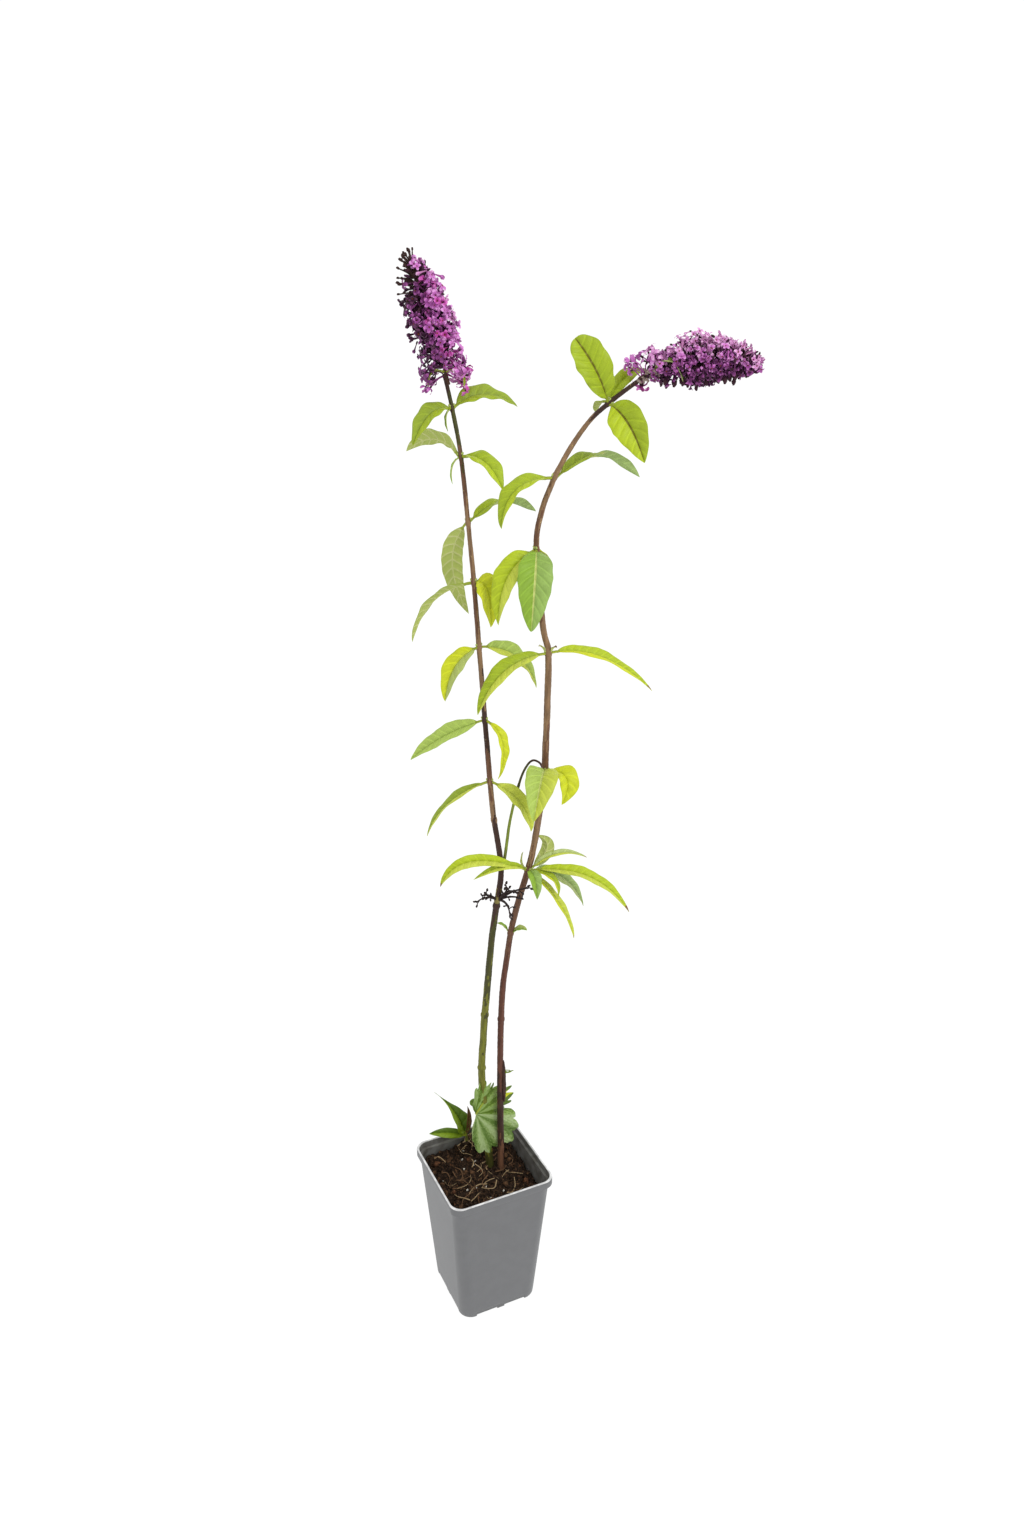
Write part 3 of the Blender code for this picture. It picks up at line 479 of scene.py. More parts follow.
# Each tone of floret: its lobes, their edges and its tube
# The spikes pick among these tones partly by how each floret faces the light, as painted light and shade:
# pink and orchid where lit, purple and dark in shade.
FLOWER_TONES = {
    "orchid": ((214, 122, 206), (236, 164, 230), (184, 96, 172)),
    "violet": ((176, 84, 170), (208, 122, 200), (140, 62, 130)),
    "magenta": ((204, 76, 176), (226, 114, 206), (164, 56, 132)),
    "purple": ((122, 48, 116), (158, 80, 150), (92, 36, 84)),
    "dark": ((76, 30, 66), (104, 50, 92), (60, 28, 50)),
    "pink": ((232, 158, 220), (244, 192, 234), (206, 136, 188)),
}


def make_flower_finishes():
    for name, (lobe, edge, tube_tone) in FLOWER_TONES.items():
        finish(f"flower_{name}_lobe", lit(*lobe), 0.55, 0.25, sheen=0.1, grain=0.05, grain_size=0.4)
        finish(f"flower_{name}_edge", lit(*edge), 0.55, 0.25, sheen=0.1, grain=0.05, grain_size=0.4)
        finish(f"flower_{name}_tube", lit(*tube_tone), 0.6, 0.25)
    finish("flower_throat", lit(150, 70, 40), 0.6, 0.2)
    finish("flower_calyx", lit(66, 36, 48), 0.75, 0.2, grain=0.06, grain_size=0.4)
    finish("flower_calyx_grey", lit(158, 138, 128), 0.85, sheen=0.2, grain=0.08, grain_size=0.4)
    finish("flower_dry", lit(62, 40, 36), 0.8, 0.2, grain=0.08, grain_size=0.5)
    finish("flower_stalk", lit(86, 62, 50), 0.75, 0.2)


def make_soil_finishes():
    for name, screen, second in (
        ("soil_dark", (62, 47, 36), (30, 22, 17)),
        ("soil_brown", (112, 82, 58), (66, 48, 35)),
        ("soil_red", (124, 84, 58), (78, 52, 38)),
    ):
        finish(name, lit(*screen), 0.95, 0.1, second=lit(*second), patch_size=1.8, grain=0.6, grain_size=0.8)
    finish("fibre_pale", lit(184, 158, 120), 0.85, 0.2, grain=0.1, grain_size=0.6)
    finish("fibre_brown", lit(122, 92, 66), 0.85, 0.2, grain=0.1, grain_size=0.6)
    finish("perlite", lit(232, 226, 212), 0.85, grain=0.3, grain_size=0.6)


def make_pot_finishes():
    grey = lit(114, 115, 117)
    finish("pot_body", grey, 0.42, second=shaded(grey, 0.93), patch_size=9.0, rough_swing=0.05,
           grain=0.035, grain_size=0.5)
    # The inside's darker patches are painted shade on the inner walls.
    finish("pot_inside", lit(116, 115, 112), 0.6, second=lit(86, 82, 76), patch_size=8.0,
           grain=0.04, grain_size=0.6)
    # The lip is nearly white: a painted highlight along the rim's edge.
    finish("pot_lip_painted_highlight", lit(246, 246, 246), 0.35, second=lit(206, 206, 206), patch_size=6.0)


# Piles and pieces

def four(faces):
    """Faces of three corners with -1 for a fourth, which stands for none."""
    return np.column_stack([faces, np.full(len(faces), -1)])


class Pile:
    """Loose shapes gathered together: points, faces of three or four corners, and each face's look."""

    def __init__(self):
        self.points, self.faces, self.looks, self.count = [], [], [], 0

    def add(self, points, faces, looks):
        points = np.asarray(points, float).reshape(-1, 3)
        faces = np.asarray(faces, int)
        if faces.shape[1] == 3:
            faces = four(faces)
        self.points.append(points)
        self.faces.append(np.where(faces >= 0, faces + self.count, -1))
        self.looks.append(np.broadcast_to(looks, len(faces)))
        self.count += len(points)

    def joined(self):
        return np.concatenate(self.points), np.concatenate(self.faces), np.concatenate(self.looks)


def to_pot(points):
    """Across, toward and up, as the pot's own X, Y and Z. The two are mirror images."""
    across, away, up = points[..., 0], -points[..., 1], points[..., 2]
    return np.stack([
        across * math.cos(TURN) + away * math.sin(TURN),
        away * math.cos(TURN) - across * math.sin(TURN),
        up,
    ], axis=-1)


def to_frame(points):
    """Across, toward and up in millimetres, as the frame's X, Y and Z in metres."""
    return to_pot(np.asarray(points, float)) * MM


def from_pot(points):
    """The pot's own X, Y and Z, as across, toward and up."""
    x, y, z = points[..., 0], points[..., 1], points[..., 2]
    return np.stack([
        x * math.cos(TURN) - y * math.sin(TURN),
        -(x * math.sin(TURN) + y * math.cos(TURN)),
        z,
    ], axis=-1)


def plain_mesh(name, pile, sharp=50):
    """The pile as an object with one smooth mesh, whose faces turn round as to_frame mirrors it."""
    points, faces, looks = pile.joined()
    faces = faces[:, ::-1]
    corners = faces[faces >= 0]
    sizes = (faces >= 0).sum(axis=1)
    mesh = bpy.data.meshes.new(name)
    mesh.vertices.add(len(points))
    mesh.vertices.foreach_set("co", to_frame(points).ravel())
    mesh.loops.add(len(corners))
    mesh.loops.foreach_set("vertex_index", corners)
    mesh.polygons.add(len(faces))
    mesh.polygons.foreach_set("loop_start", np.concatenate([[0], np.cumsum(sizes)[:-1]]))
    used, local = np.unique(looks, return_inverse=True)
    for which in used:
        mesh.materials.append(FINISHES[which])
    mesh.polygons.foreach_set("material_index", local.astype(np.int32))
    mesh.polygons.foreach_set("use_smooth", np.ones(len(faces), bool))
    mesh.update(calc_edges=True)
    mesh.validate()
    mesh.set_sharp_from_angle(angle=math.radians(sharp))
    made = bpy.data.objects.new(name, mesh)
    bpy.context.scene.collection.objects.link(made)
    return made


def make_piece(name, pile, slot, *nodes, sharp=50):
    """The pile as a piece that rides on the root body, in place of some nodes."""
    made = plain_mesh(name, pile, sharp)
    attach(made, "root")
    if nodes:
        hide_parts(*nodes)
    return made


def grid_faces(rows, columns, wrap=False):
    """The four-cornered faces of a grid of points, row by row."""
    across = columns if wrap else columns - 1
    row, column = np.meshgrid(np.arange(rows - 1), np.arange(across), indexing="ij")
    after = (column + 1) % columns
    corners = [row * columns + column, row * columns + after,
               (row + 1) * columns + after, (row + 1) * columns + column]
    return np.stack(corners, axis=-1).reshape(-1, 4)


def closed_faces(rings, sides):
    """The faces of a stack of rings, closed at its first and last ring by the two points after them."""
    here = np.arange(sides)
    after = (here + 1) % sides
    last = (rings - 1) * sides
    caps = np.concatenate([
        np.column_stack([after, here, np.full(sides, rings * sides)]),
        np.column_stack([here + last, after + last, np.full(sides, rings * sides + 1)]),
    ])
    return np.concatenate([grid_faces(rings, sides, wrap=True), four(caps)])


def unit(vectors):
    return vectors / np.maximum(np.linalg.norm(vectors, axis=-1, keepdims=True), 1e-9)


def ease(part):
    return part * part * (3 - 2 * part)


def hump(gap, reach):
    """A smooth hump that is 1 where the gap is nothing and fades over its reach."""
    return np.exp(-((gap / reach) ** 2))


def circle(sides):
    return 2 * np.pi * np.arange(sides) / sides


def smooth_route(points, step):
    """Points about every step along a smooth curve through the given points."""
    points = [np.array(p, float) for p in points]
    padded = [2 * points[0] - points[1], *points, 2 * points[-1] - points[-2]]
    curve = []
    for a, b, c, d in zip(padded, padded[1:], padded[2:], padded[3:]):
        count = max(1, round(np.linalg.norm(c - b) / step))
        for t in np.arange(count) / count:
            curve.append(0.5 * (2 * b + (c - a) * t + (2 * a - 5 * b + 4 * c - d) * t**2
                                + (3 * b - a - 3 * c + d) * t**3))
    curve.append(points[-1])
    return np.array(curve)


def tube(pile, route, widths, looks, sides=8, relief=1.0):
    """A closed tube along a route. Relief scales the radius of each point, and looks may be one a face."""
    route = np.asarray(route, float)
    rings = len(route)
    ahead = unit(np.gradient(route, axis=0))
    square_to = np.eye(3)[np.argmin(np.abs(ahead).max(axis=0))]
    one = unit(np.cross(square_to, ahead))
    two = np.cross(ahead, one)
    angle = circle(sides)
    radius = (np.broadcast_to(widths, rings)[:, None] / 2 * relief)[..., None]
    radius = np.broadcast_to(radius, (rings, sides, 1))
    around = one[:, None] * np.cos(angle)[:, None] + two[:, None] * np.sin(angle)[:, None]
    points = (route[:, None] + radius * around).reshape(-1, 3)
    if np.ndim(looks):
        looks = np.concatenate([looks, np.full(sides, looks[0]), np.full(sides, looks[-1])])
    pile.add(np.concatenate([points, route[:1], route[-1:]]), closed_faces(rings, sides), looks)


def scatter(pile, shape, places, outs, spins, sizes, looks):
    """Copies of a shape whose own Z points out. Looks is one finish, or one for each copy, or a
    row for each copy with the finish of each kind of its faces."""
    points, faces, kinds = shape
    outs = unit(np.asarray(outs, float))
    looks = np.asarray(looks)
    if looks.ndim < 2:
        looks = np.broadcast_to(looks.reshape(-1, 1), (len(outs), 1))
    helper = np.where(np.abs(outs[:, 2:]) < 0.8, [[0.0, 0.0, 1.0]], [[1.0, 0.0, 0.0]])
    one = unit(np.cross(helper, outs))
    two = np.cross(outs, one)
    cos, sin = np.cos(spins)[:, None], np.sin(spins)[:, None]
    one, two = one * cos + two * sin, two * cos - one * sin
    axes = np.stack([one, two, outs], axis=1) * np.asarray(sizes, float)[:, None, None]
    moved = np.einsum("pk,nkj->npj", points, axes) + np.asarray(places, float)[:, None]
    copies = np.arange(len(outs))[:, None, None] * len(points)
    all_faces = np.where(faces >= 0, faces + copies, -1).reshape(-1, 4)
    pile.add(moved.reshape(-1, 3), all_faces, looks[:, kinds].reshape(-1))


def lump(radius, flat=1.0, seed=0, rough=0.15, rings=5, sides=7):
    """A small rounded lump as a shape for scatter."""
    rng = np.random.default_rng(seed)
    up = np.linspace(-0.5 * np.pi, 0.5 * np.pi, rings + 2)[1:-1]
    angle = circle(sides)
    body = np.stack([
        np.cos(up)[:, None] * np.cos(angle),
        np.cos(up)[:, None] * np.sin(angle),
        np.broadcast_to(np.sin(up)[:, None] * flat, (rings, sides)),
    ], axis=-1)
    body = body * radius * (1 + rough * rng.standard_normal((rings, sides, 1)))
    points = np.concatenate([body.reshape(-1, 3), [[0, 0, -radius * flat], [0, 0, radius * flat]]])
    faces = closed_faces(rings, sides)
    return points, faces, np.zeros(len(faces), int)


# Stems

BARK_STEP = 1.1
TONE_BLUR = 0.28
TONE_STREAK = 6.0
WART = 0.35
WART_SIZES = (0.5, 1.1)

# Bark is carved by shares of the stem's radius: four soft ridges, streaks along it and a fine
# grain, with a swelling at each node and a groove round that
RIDGE_RISE = 0.045
STREAK_RISE = 0.035
GRAIN_RISE = 0.02
SWELL_RISE = 0.22
SWELL_REACH = 2.4
GROOVE_SUNK = 0.1
GROOVE_AT = 2.6
GROOVE_REACH = 0.7


def stem_noise(rng, rings, sides, along=9.0):
    """Smooth streaks some rings long that run along a stem, about 0 with a spread of about 1."""
    rows = max(3, int(rings / along) + 2)
    coarse = rng.standard_normal((rows, sides))
    coarse = (coarse + np.roll(coarse, 1, axis=1)) / 1.4
    place = np.linspace(0, rows - 1.001, rings)
    low = place.astype(int)
    part = ease((place - low)[:, None])
    return coarse[low] * (1 - part) + coarse[low + 1] * part


def make_stem(stem, leaf_nodes):
    """A stem with carved bark in its own tones, and small pale warts on it."""
    pile = Pile()
    rng = np.random.default_rng(stem["seeds"][0])
    sides = stem["sides"]
    route = smooth_route(stem["route"], BARK_STEP)
    widths = np.linspace(stem["foot"], stem["tip"], len(route))
    if stem["overlap"]:
        before, beyond = stem["overlap"]
        start = route[0] + unit(route[0] - route[3]) * before
        end = route[-1] + unit(route[-1] - route[-4]) * beyond
        route = np.concatenate([[start], route, [end]])
        widths = np.concatenate([widths[:1], widths, widths[-1:]])
    rings = len(route)
    relief = 1 + RIDGE_RISE * np.cos(4 * circle(sides))[None] + STREAK_RISE * stem_noise(rng, rings, sides)
    relief = relief + GRAIN_RISE * rng.standard_normal((rings, sides))
    for knot in [place for _, place, _ in leaf_nodes] + stem["knots"]:
        gap = np.linalg.norm(route - np.array(knot, float), axis=1)
        carved = SWELL_RISE * hump(gap, SWELL_REACH) - GROOVE_SUNK * hump(gap - GROOVE_AT, GROOVE_REACH)
        relief = relief + carved[:, None]
    marks = [place for place, _ in stem["zones"]]
    tones = np.array([number(f"bark_{tone}") for _, tone in stem["zones"]])
    where = np.interp(np.linspace(0, 1, rings - 1), marks, np.arange(len(marks)))[:, None]
    where = where + TONE_BLUR * stem_noise(rng, rings - 1, sides, TONE_STREAK)
    looks = tones[np.clip(np.round(where), 0, len(marks) - 1).astype(int)]
    tube(pile, route, widths, looks.reshape(-1), sides=sides, relief=relief)
    add_warts(pile, route, widths, stem["warts"], stem["seeds"][1])
    make_piece(stem["name"] + "_bark", pile, stem["slot"], stem["name"])


def add_warts(pile, route, widths, count, seed):
    """Small pale warts on the bark."""
    rng = np.random.default_rng(seed)
    at = rng.integers(3, len(route) - 3, count)
    ahead = unit(route[at + 1] - route[at - 1])
    out = unit(np.cross(ahead, rng.standard_normal((count, 3))))
    places = route[at] + out * (widths[at] / 2 * 0.97)[:, None]
    spins, sizes = rng.uniform(*ANY_SPIN, count), rng.uniform(*WART_SIZES, count)
    scatter(pile, lump(WART, flat=0.5), places, out, spins, sizes, number("bark_scar"))


def place_on_stem(near, stems):
    """The point of a stem nearest a node, the way the stem runs there, and its radius."""
    near = np.array(near, float)
    found = []
    for stem in stems:
        route = smooth_route(stem["route"], 2.0)
        widths = np.linspace(stem["foot"], stem["tip"], len(route))
        gaps = np.linalg.norm(route - near, axis=1)
        which = int(np.argmin(gaps))
        low, high = max(which - 1, 0), min(which + 1, len(route) - 1)
        found.append((gaps[which], route[which], unit(route[high] - route[low]), widths[which] / 2))
    return min(found, key=lambda spot: spot[0])[1:]


def make_stems():
    make_stem(LEFT_STEM, [])
    make_stem(LEFT_LEADER, LEFT_NODES)
    for stem in RIGHT_STEMS:
        make_stem(stem, RIGHT_NODES)
    make_stem(GREEN_SHOOT, [])
    make_snag()


def make_snag():
    """The dead stub on the right stem: a torn flap of dark bark, with a sprig of moss on it."""
    pile = Pile()
    rng = np.random.default_rng(43)
    sides = 12
    route = smooth_route(SNAG_ROUTE, 1.0) + np.array(SNAG_SHIFT)
    rings = len(route)
    share = np.linspace(0, 1, rings)
    widths = SNAG_WIDE * np.clip(np.sin(np.pi * (0.06 + 0.86 * share)), 0.1, 1) ** 0.6
    relief = 1 + 0.12 * stem_noise(rng, rings, sides, 4.0) + 0.05 * rng.standard_normal((rings, sides))
    tube(pile, route, widths, number("bark_dark"), sides=sides, relief=relief)
    for turn in range(4):
        start = route[9 + turn] + np.array([1.2, 0.5, 0])
        bend = rng.uniform(-2, 2, 3)
        end = start + np.array([4 + 0.7 * turn, 1.0, 0.5 + turn * 0.8]) + bend * 0.4
        strand = smooth_route([start, (start + end) / 2 + bend * 0.5, end], 0.8)
        tube(pile, strand, 0.8, number("leaf_deep_0"), sides=5)
    make_piece("snag_stub_bark", pile, "dead_bark", "snag_stub")


# Leaves

VEIN_SPACING = 6.0
VEIN_STEPS = (0.0, 0.1, 0.26, 0.42, 0.58, 0.74, 0.9)
FEWEST_VEINS = 5
HALF_COLUMNS = 9
SMALL_WIDE = 4
SMALL_COUNT = 4
EDGE_CROWDING = 1.25
SHEET_THICK = 0.3
STALK_THICK = 1.3
STALK_HALF = 0.8
TIP_HALF = 0.14
FULLER = 1.5
FULL_RELIEF_HALF = 7.0
SMOOTH_EDGE_HALF = 1.5
TOOTH_SPACING = 9.0
QUILT_RISE = 0.55
WAVE_RISE = 0.7
MIDRIB_SUNK = 0.35
MIDRIB_HALF = 0.7
RIB_PROUD = 0.45
RIB_HALF = 0.6
VEIN_PROUD = 0.14
BUD_FROM = 6
BUD = 0.9

# By share of a blade's length, of the gap between two veins, or of the blade's half width
STALK_SHARE = 0.07
STALK_ENDS = 0.2
ROOT_POWER = 0.6
PAST_MIDDLE = 0.52
STEEPEST_SLANT = 0.2
EDGE_TOOTH = 0.02
QUILT_SEAM = 0.17
VEIN_HALF = 0.09
VEIN_SHOWS = 0.06
RIB_SHOWS = 0.07
UNDER_RIB_SHOWS = 0.09
VEINS_END = 0.86


def outline(blade, share):
    """The half width of the blade at each share of its length."""
    along = np.clip((share - STALK_SHARE) / (1 - STALK_SHARE), 0.0, 1.0)
    full_at = ROOT_POWER / (ROOT_POWER + blade["taper"])
    peak = full_at**ROOT_POWER * (1 - full_at) ** blade["taper"]
    half = (blade["wide"] + FULLER) / 2 * along**ROOT_POWER * (1 - along) ** blade["taper"] / peak
    return np.maximum(half, np.where(share < STALK_ENDS, min(STALK_HALF, blade["wide"] / 4), TIP_HALF))


def blade_frame(blade, start, share):
    """Points of the midrib, and there the way away from the viewer and the upper side."""
    tip = np.array(blade["tip"], float) - start
    bow = np.array(blade["bow"], float)
    control = blade["peak"] * tip + 2 * bow
    share = share[..., None]
    middle = start + 2 * share * (1 - share) * control + share**2 * tip
    ahead = unit(2 * (1 - 2 * share) * control + 2 * share * tip)
    upper = unit(bow - ahead * (ahead * bow).sum(axis=-1, keepdims=True))
    aside = np.cross(upper, ahead)
    aside = np.where(np.median(aside[..., 1]) > 0, -aside, aside)
    turned = np.radians(blade["facing"] + blade["twist"] * share)
    away = aside * np.cos(turned) + upper * np.sin(turned)
    top = upper * np.cos(turned) - aside * np.sin(turned)
    return middle, away, top


def blade_grid(blade, small):
    """The share along, the side from -1 to 1 and the gap to the nearest vein, on a blade's grid."""
    length = np.linalg.norm(blade["tip"])
    veins = SMALL_COUNT if small else max(FEWEST_VEINS, round(length / VEIN_SPACING))
    columns = SMALL_COUNT if small else HALF_COLUMNS
    rows = np.array([(vein + step) / veins for vein in range(veins) for step in VEIN_STEPS] + [1.0])
    line = np.linspace(-1, 1, 2 * columns + 1)
    side = np.sign(line) * np.abs(line) ** EDGE_CROWDING
    share, side = np.meshgrid(rows, side, indexing="ij")
    phase = (share * veins) % 1.0
    slant = min(0.5 * blade["wide"] / length, STEEPEST_SLANT)
    share = np.clip(share + slant * np.abs(side) * 4 * share * (1 - share) * 0.9, 0, 1)
    return share, side, np.minimum(phase, 1 - phase)


def make_leaf(pile, blade, node, start, rng):
    """A leaf of two sheets: quilted between its side veins, with a sunk midrib and a wavy margin."""
    length = np.linalg.norm(blade["tip"])
    wide = blade["wide"]
    small = wide < SMALL_WIDE
    share, side, from_vein = blade_grid(blade, small)
    reach = np.abs(side)
    half = outline(blade, share)
    teeth = EDGE_TOOTH * np.sin(2 * np.pi * share * length / TOOTH_SPACING + side)
    half = half * (1 + teeth * (half > SMOOTH_EDGE_HALF))
    middle, away, top = blade_frame(blade, start, share)
    fold = math.radians(blade["fold"])
    waves = 2 * np.pi * (share * rng.uniform(2.2, 3.4) + np.where(side > 0, rng.uniform(), rng.uniform()))
    bloom = half / FULL_RELIEF_HALF
    rise = half * reach * math.sin(fold) * (1 + 0.3 * np.sin(np.pi * reach))
    rise = rise + QUILT_RISE * bloom * (1 - hump(from_vein, QUILT_SEAM)) * np.sin(np.pi * reach**0.8) ** 0.7
    rise = rise + bloom * WAVE_RISE * reach**3 * np.sin(waves)
    rise = rise - MIDRIB_SUNK * hump(reach * half, MIDRIB_HALF) * (share > STALK_SHARE)
    stalk = np.clip(1 - (share - STALK_SHARE * 0.7) / 0.1, 0, 1)
    thick = SHEET_THICK + min(STALK_THICK, wide / 4) * stalk * np.sqrt(np.clip(1 - reach**2, 0, 1))
    rib = RIB_PROUD * hump(reach * half, RIB_HALF) * (1 - share) * min(1, wide / 8)
    rib = rib + VEIN_PROUD * hump(from_vein, VEIN_HALF) * np.clip(bloom, 0, 1) * (1 - reach**2)
    sheet = np.array(node, float) + middle + away * (side * half * math.cos(fold))[..., None]
    upper = sheet + top * (rise + thick / 2)[..., None]
    lower = sheet + top * (rise - thick / 2 - rib)[..., None]
    add_sheets(pile, upper, lower, *leaf_looks(blade, share, side, from_vein, small, rng))


def centres(values):
    """The value at the middle of each cell of a grid."""
    return (values[1:, 1:] + values[:-1, 1:] + values[1:, :-1] + values[:-1, :-1]) / 4


def leaf_looks(blade, share, side, from_vein, small, rng):
    """The finish of each face of the upper and the lower sheet."""
    where, across, vein = centres(share), centres(side), centres(from_vein)
    swing = np.sin(where * rng.uniform(4, 7) + rng.uniform(0, 6) + 1.5 * across)
    swing = swing + 0.5 * np.sin(where * 23 + 4 * across) - 0.7 * (np.abs(across) < 0.25)
    shade = np.clip(np.round(swing * 0.7 + 1), 0, 2).astype(int)
    # Each half takes its own tone: partly the leaf's own tint, partly painted light and shade where one half
    # faces the light.
    near, far = number(f"leaf_{blade['near']}_0"), number(f"leaf_{blade['far']}_0")
    tone = np.where(across < 0, near, far)
    # Past the middle a twisted tip takes its end tone, a pale tone with painted sheen.
    past = where > PAST_MIDDLE + 0.06 * np.sin(9 * across)
    if blade["end"]:
        tone = np.where(past, number(f"leaf_{blade['end']}_0"), tone)
    above = tone + shade
    if not small:
        above = np.where((vein < VEIN_SHOWS) & (np.abs(across) < VEINS_END), tone + VEIN_AFTER, above)
        rib = tone + RIB_AFTER if blade["rib"] == "plain" else number("leaf_rib_" + blade["rib"])
        above = np.where(np.abs(across) < RIB_SHOWS, rib, above)
    on_stalk = where < STALK_SHARE * 1.3
    above = np.where(on_stalk, number("leaf_stalk"), above)
    ribbed = (vein < VEIN_SHOWS) | (np.abs(across) < UNDER_RIB_SHOWS)
    below = np.where(ribbed, number("leaf_under_rib"), number("leaf_under"))
    # Past the middle the underside takes the same pale tone with painted sheen.
    if blade["end"]:
        below = np.where(past, above, below)
    below = np.where(on_stalk, number("leaf_stalk"), below)
    dry = where > 1 - blade["tail"]
    return np.where(dry, number("leaf_dry"), above), np.where(dry, number("leaf_dry"), below)


def grid_edge(rows, columns):
    """The points round the edge of a grid, in order."""
    return np.concatenate([
        np.arange(columns), np.arange(1, rows) * columns + columns - 1,
        (rows - 1) * columns + np.arange(columns - 1)[::-1], np.arange(1, rows - 1)[::-1] * columns,
    ])


def add_sheets(pile, upper, lower, above, below):
    """Two sheets of points, one over the other, closed along their edges."""
    rows, columns = upper.shape[:2]
    faces = grid_faces(rows, columns)
    count = rows * columns
    edge = grid_edge(rows, columns)
    after = np.roll(edge, -1)
    rim = np.column_stack([edge, edge + count, after + count, after])
    looks = np.concatenate([above.reshape(-1), below.reshape(-1), np.full(len(rim), above[rows // 2, 0])])
    points = np.concatenate([upper.reshape(-1, 3), lower.reshape(-1, 3)])
    pile.add(points, np.concatenate([faces, faces[:, ::-1] + count, rim]), looks)


def root_on_stem(way, along, reach):
    """Where a shoot that heads some way leaves its stem: square to the stem, at some reach."""
    way = np.array(way, float)
    square = way - along * way.dot(along)
    return square / np.linalg.norm(square) * reach


def make_leaf_pair(name, near, blades, stems, seed):
    """The leaves of one node, with a bud in the crook of each larger one."""
    rng = np.random.default_rng(seed)
    place, along, radius = place_on_stem(near, stems)
    pile = Pile()
    for blade in blades:
        start = root_on_stem(np.array(blade["tip"]) + 3 * np.array(blade["bow"]), along, radius * 0.75)
        make_leaf(pile, blade, place, start, rng)
        if blade["wide"] > BUD_FROM:
            out = unit(start + along * radius * 1.2)
            at = place + start * 1.25 + along * 1.6
            scatter(pile, lump(BUD, flat=1.7, seed=seed), [at], [out], [0.0], [1.0], number("leaf_pale_1"))
    make_piece(name.replace("leaves", "leaf_pair"), pile, "leaf", name, sharp=70)


# Basal leaves

FAN_TURNS = 230
FAN_STEPS = 30
FAN_HALF_THICK = 0.2
PLEAT_RISE = 1.2
CREASE_SUNK = 2.4
CREASE_REACH = 0.16
EDGE_CURL = 9.0
CURL_FROM = 0.78
FAR_LOBE = np.radians([-13, 20])
FAR_FROM = 0.72
LIGHT_BELOW = math.radians(-24)
STREAK_AT = math.radians(9)
STREAK_HALF = 0.05


def fan_reach(turn):
    """How far the scalloped leaf reaches at some angles, with its wide lower and narrow upper lobes."""
    marks, reach = np.array(FAN_REACH, float).T
    low_lobes = 0.86 + 0.14 * np.abs(np.sin(turn * FAN_LOBES)) ** 0.6
    high_lobes = 0.82 + 0.18 * np.abs(np.sin(turn * FAN_LOBES * 1.4)) ** 1.3
    return np.interp(turn, np.radians(marks), reach) * np.where(turn < FAN_NOTCH, low_lobes, high_lobes)


def make_fan_leaf(pile, rng):
    """The scalloped leaf: pleats that fan out from its stalk, its lower half toward the light."""
    spread = math.radians(FAN_REACH[-1][0])
    step, turn = np.meshgrid(
        np.linspace(0.03, 1, FAN_STEPS), np.linspace(-spread, spread, FAN_TURNS), indexing="ij")
    reach = fan_reach(turn) * step
    right = reach * np.cos(turn)
    up = reach * np.sin(turn)
    wave = np.cos(turn * FAN_LOBES)
    pleat = PLEAT_RISE * step**0.8 * wave * (0.35 + 0.65 * step)
    quilt = 0.4 * np.sin(step * 30 + 3 * np.cos(turn * FAN_LOBES * 2)) * step
    bend = np.where(up < 0, -up * 0.16, -0.1 * up)
    crease = CREASE_SUNK * hump(turn + FAN_CREASE, CREASE_REACH) * step
    curl = EDGE_CURL * np.clip(step - CURL_FROM, 0, 1) ** 1.5
    front = pleat + quilt + bend - crease - curl + 0.6 * np.sin(3 * turn + 5 * step)
    sheet = (np.array(FAN_AT) + right[..., None] * FAN_RIGHT + up[..., None] * UP
             + front[..., None] * FAN_FRONT)
    above = fan_looks(centres(step), centres(turn), wave, rng)
    below = np.full(above.shape, number("leaf_under"))
    add_sheets(pile, sheet + FAN_HALF_THICK * FAN_FRONT, sheet - FAN_HALF_THICK * FAN_FRONT, above, below)


def fan_looks(step, turn, wave, rng):
    """Painted light and shade: lit ridges and shaded folds, and the lower half paler as it faces the light.
    Also a dark far lobe with a yellow streak.
    """
    ridge = (wave[1:, 1:] + wave[:-1, :-1]) / 2 + 0.3 * rng.standard_normal(turn.shape)
    pale = np.select([ridge > 0.35, ridge < -0.55], [number("leaf_sage_lit_ridge_1"), number("leaf_sage_shaded_fold_1")],
                     number("leaf_sage_1"))
    plain = np.select([ridge > 0.6, ridge < -0.3], [number("leaf_sage_1"), number("leaf_dark_green_2")],
                      number("leaf_mid_green_1"))
    # Below LIGHT_BELOW the leaf faces the light and takes the paler looks: painted light.
    above = np.where(turn < LIGHT_BELOW, pale, plain)
    far = (step > FAR_FROM) & (turn > FAR_LOBE[0]) & (turn < FAR_LOBE[1])
    above = np.where(far, number("leaf_dark_green_1"), above)
    return np.where(far & (np.abs(turn - STREAK_AT) < STREAK_HALF), number("leaf_yellow_1"), above)


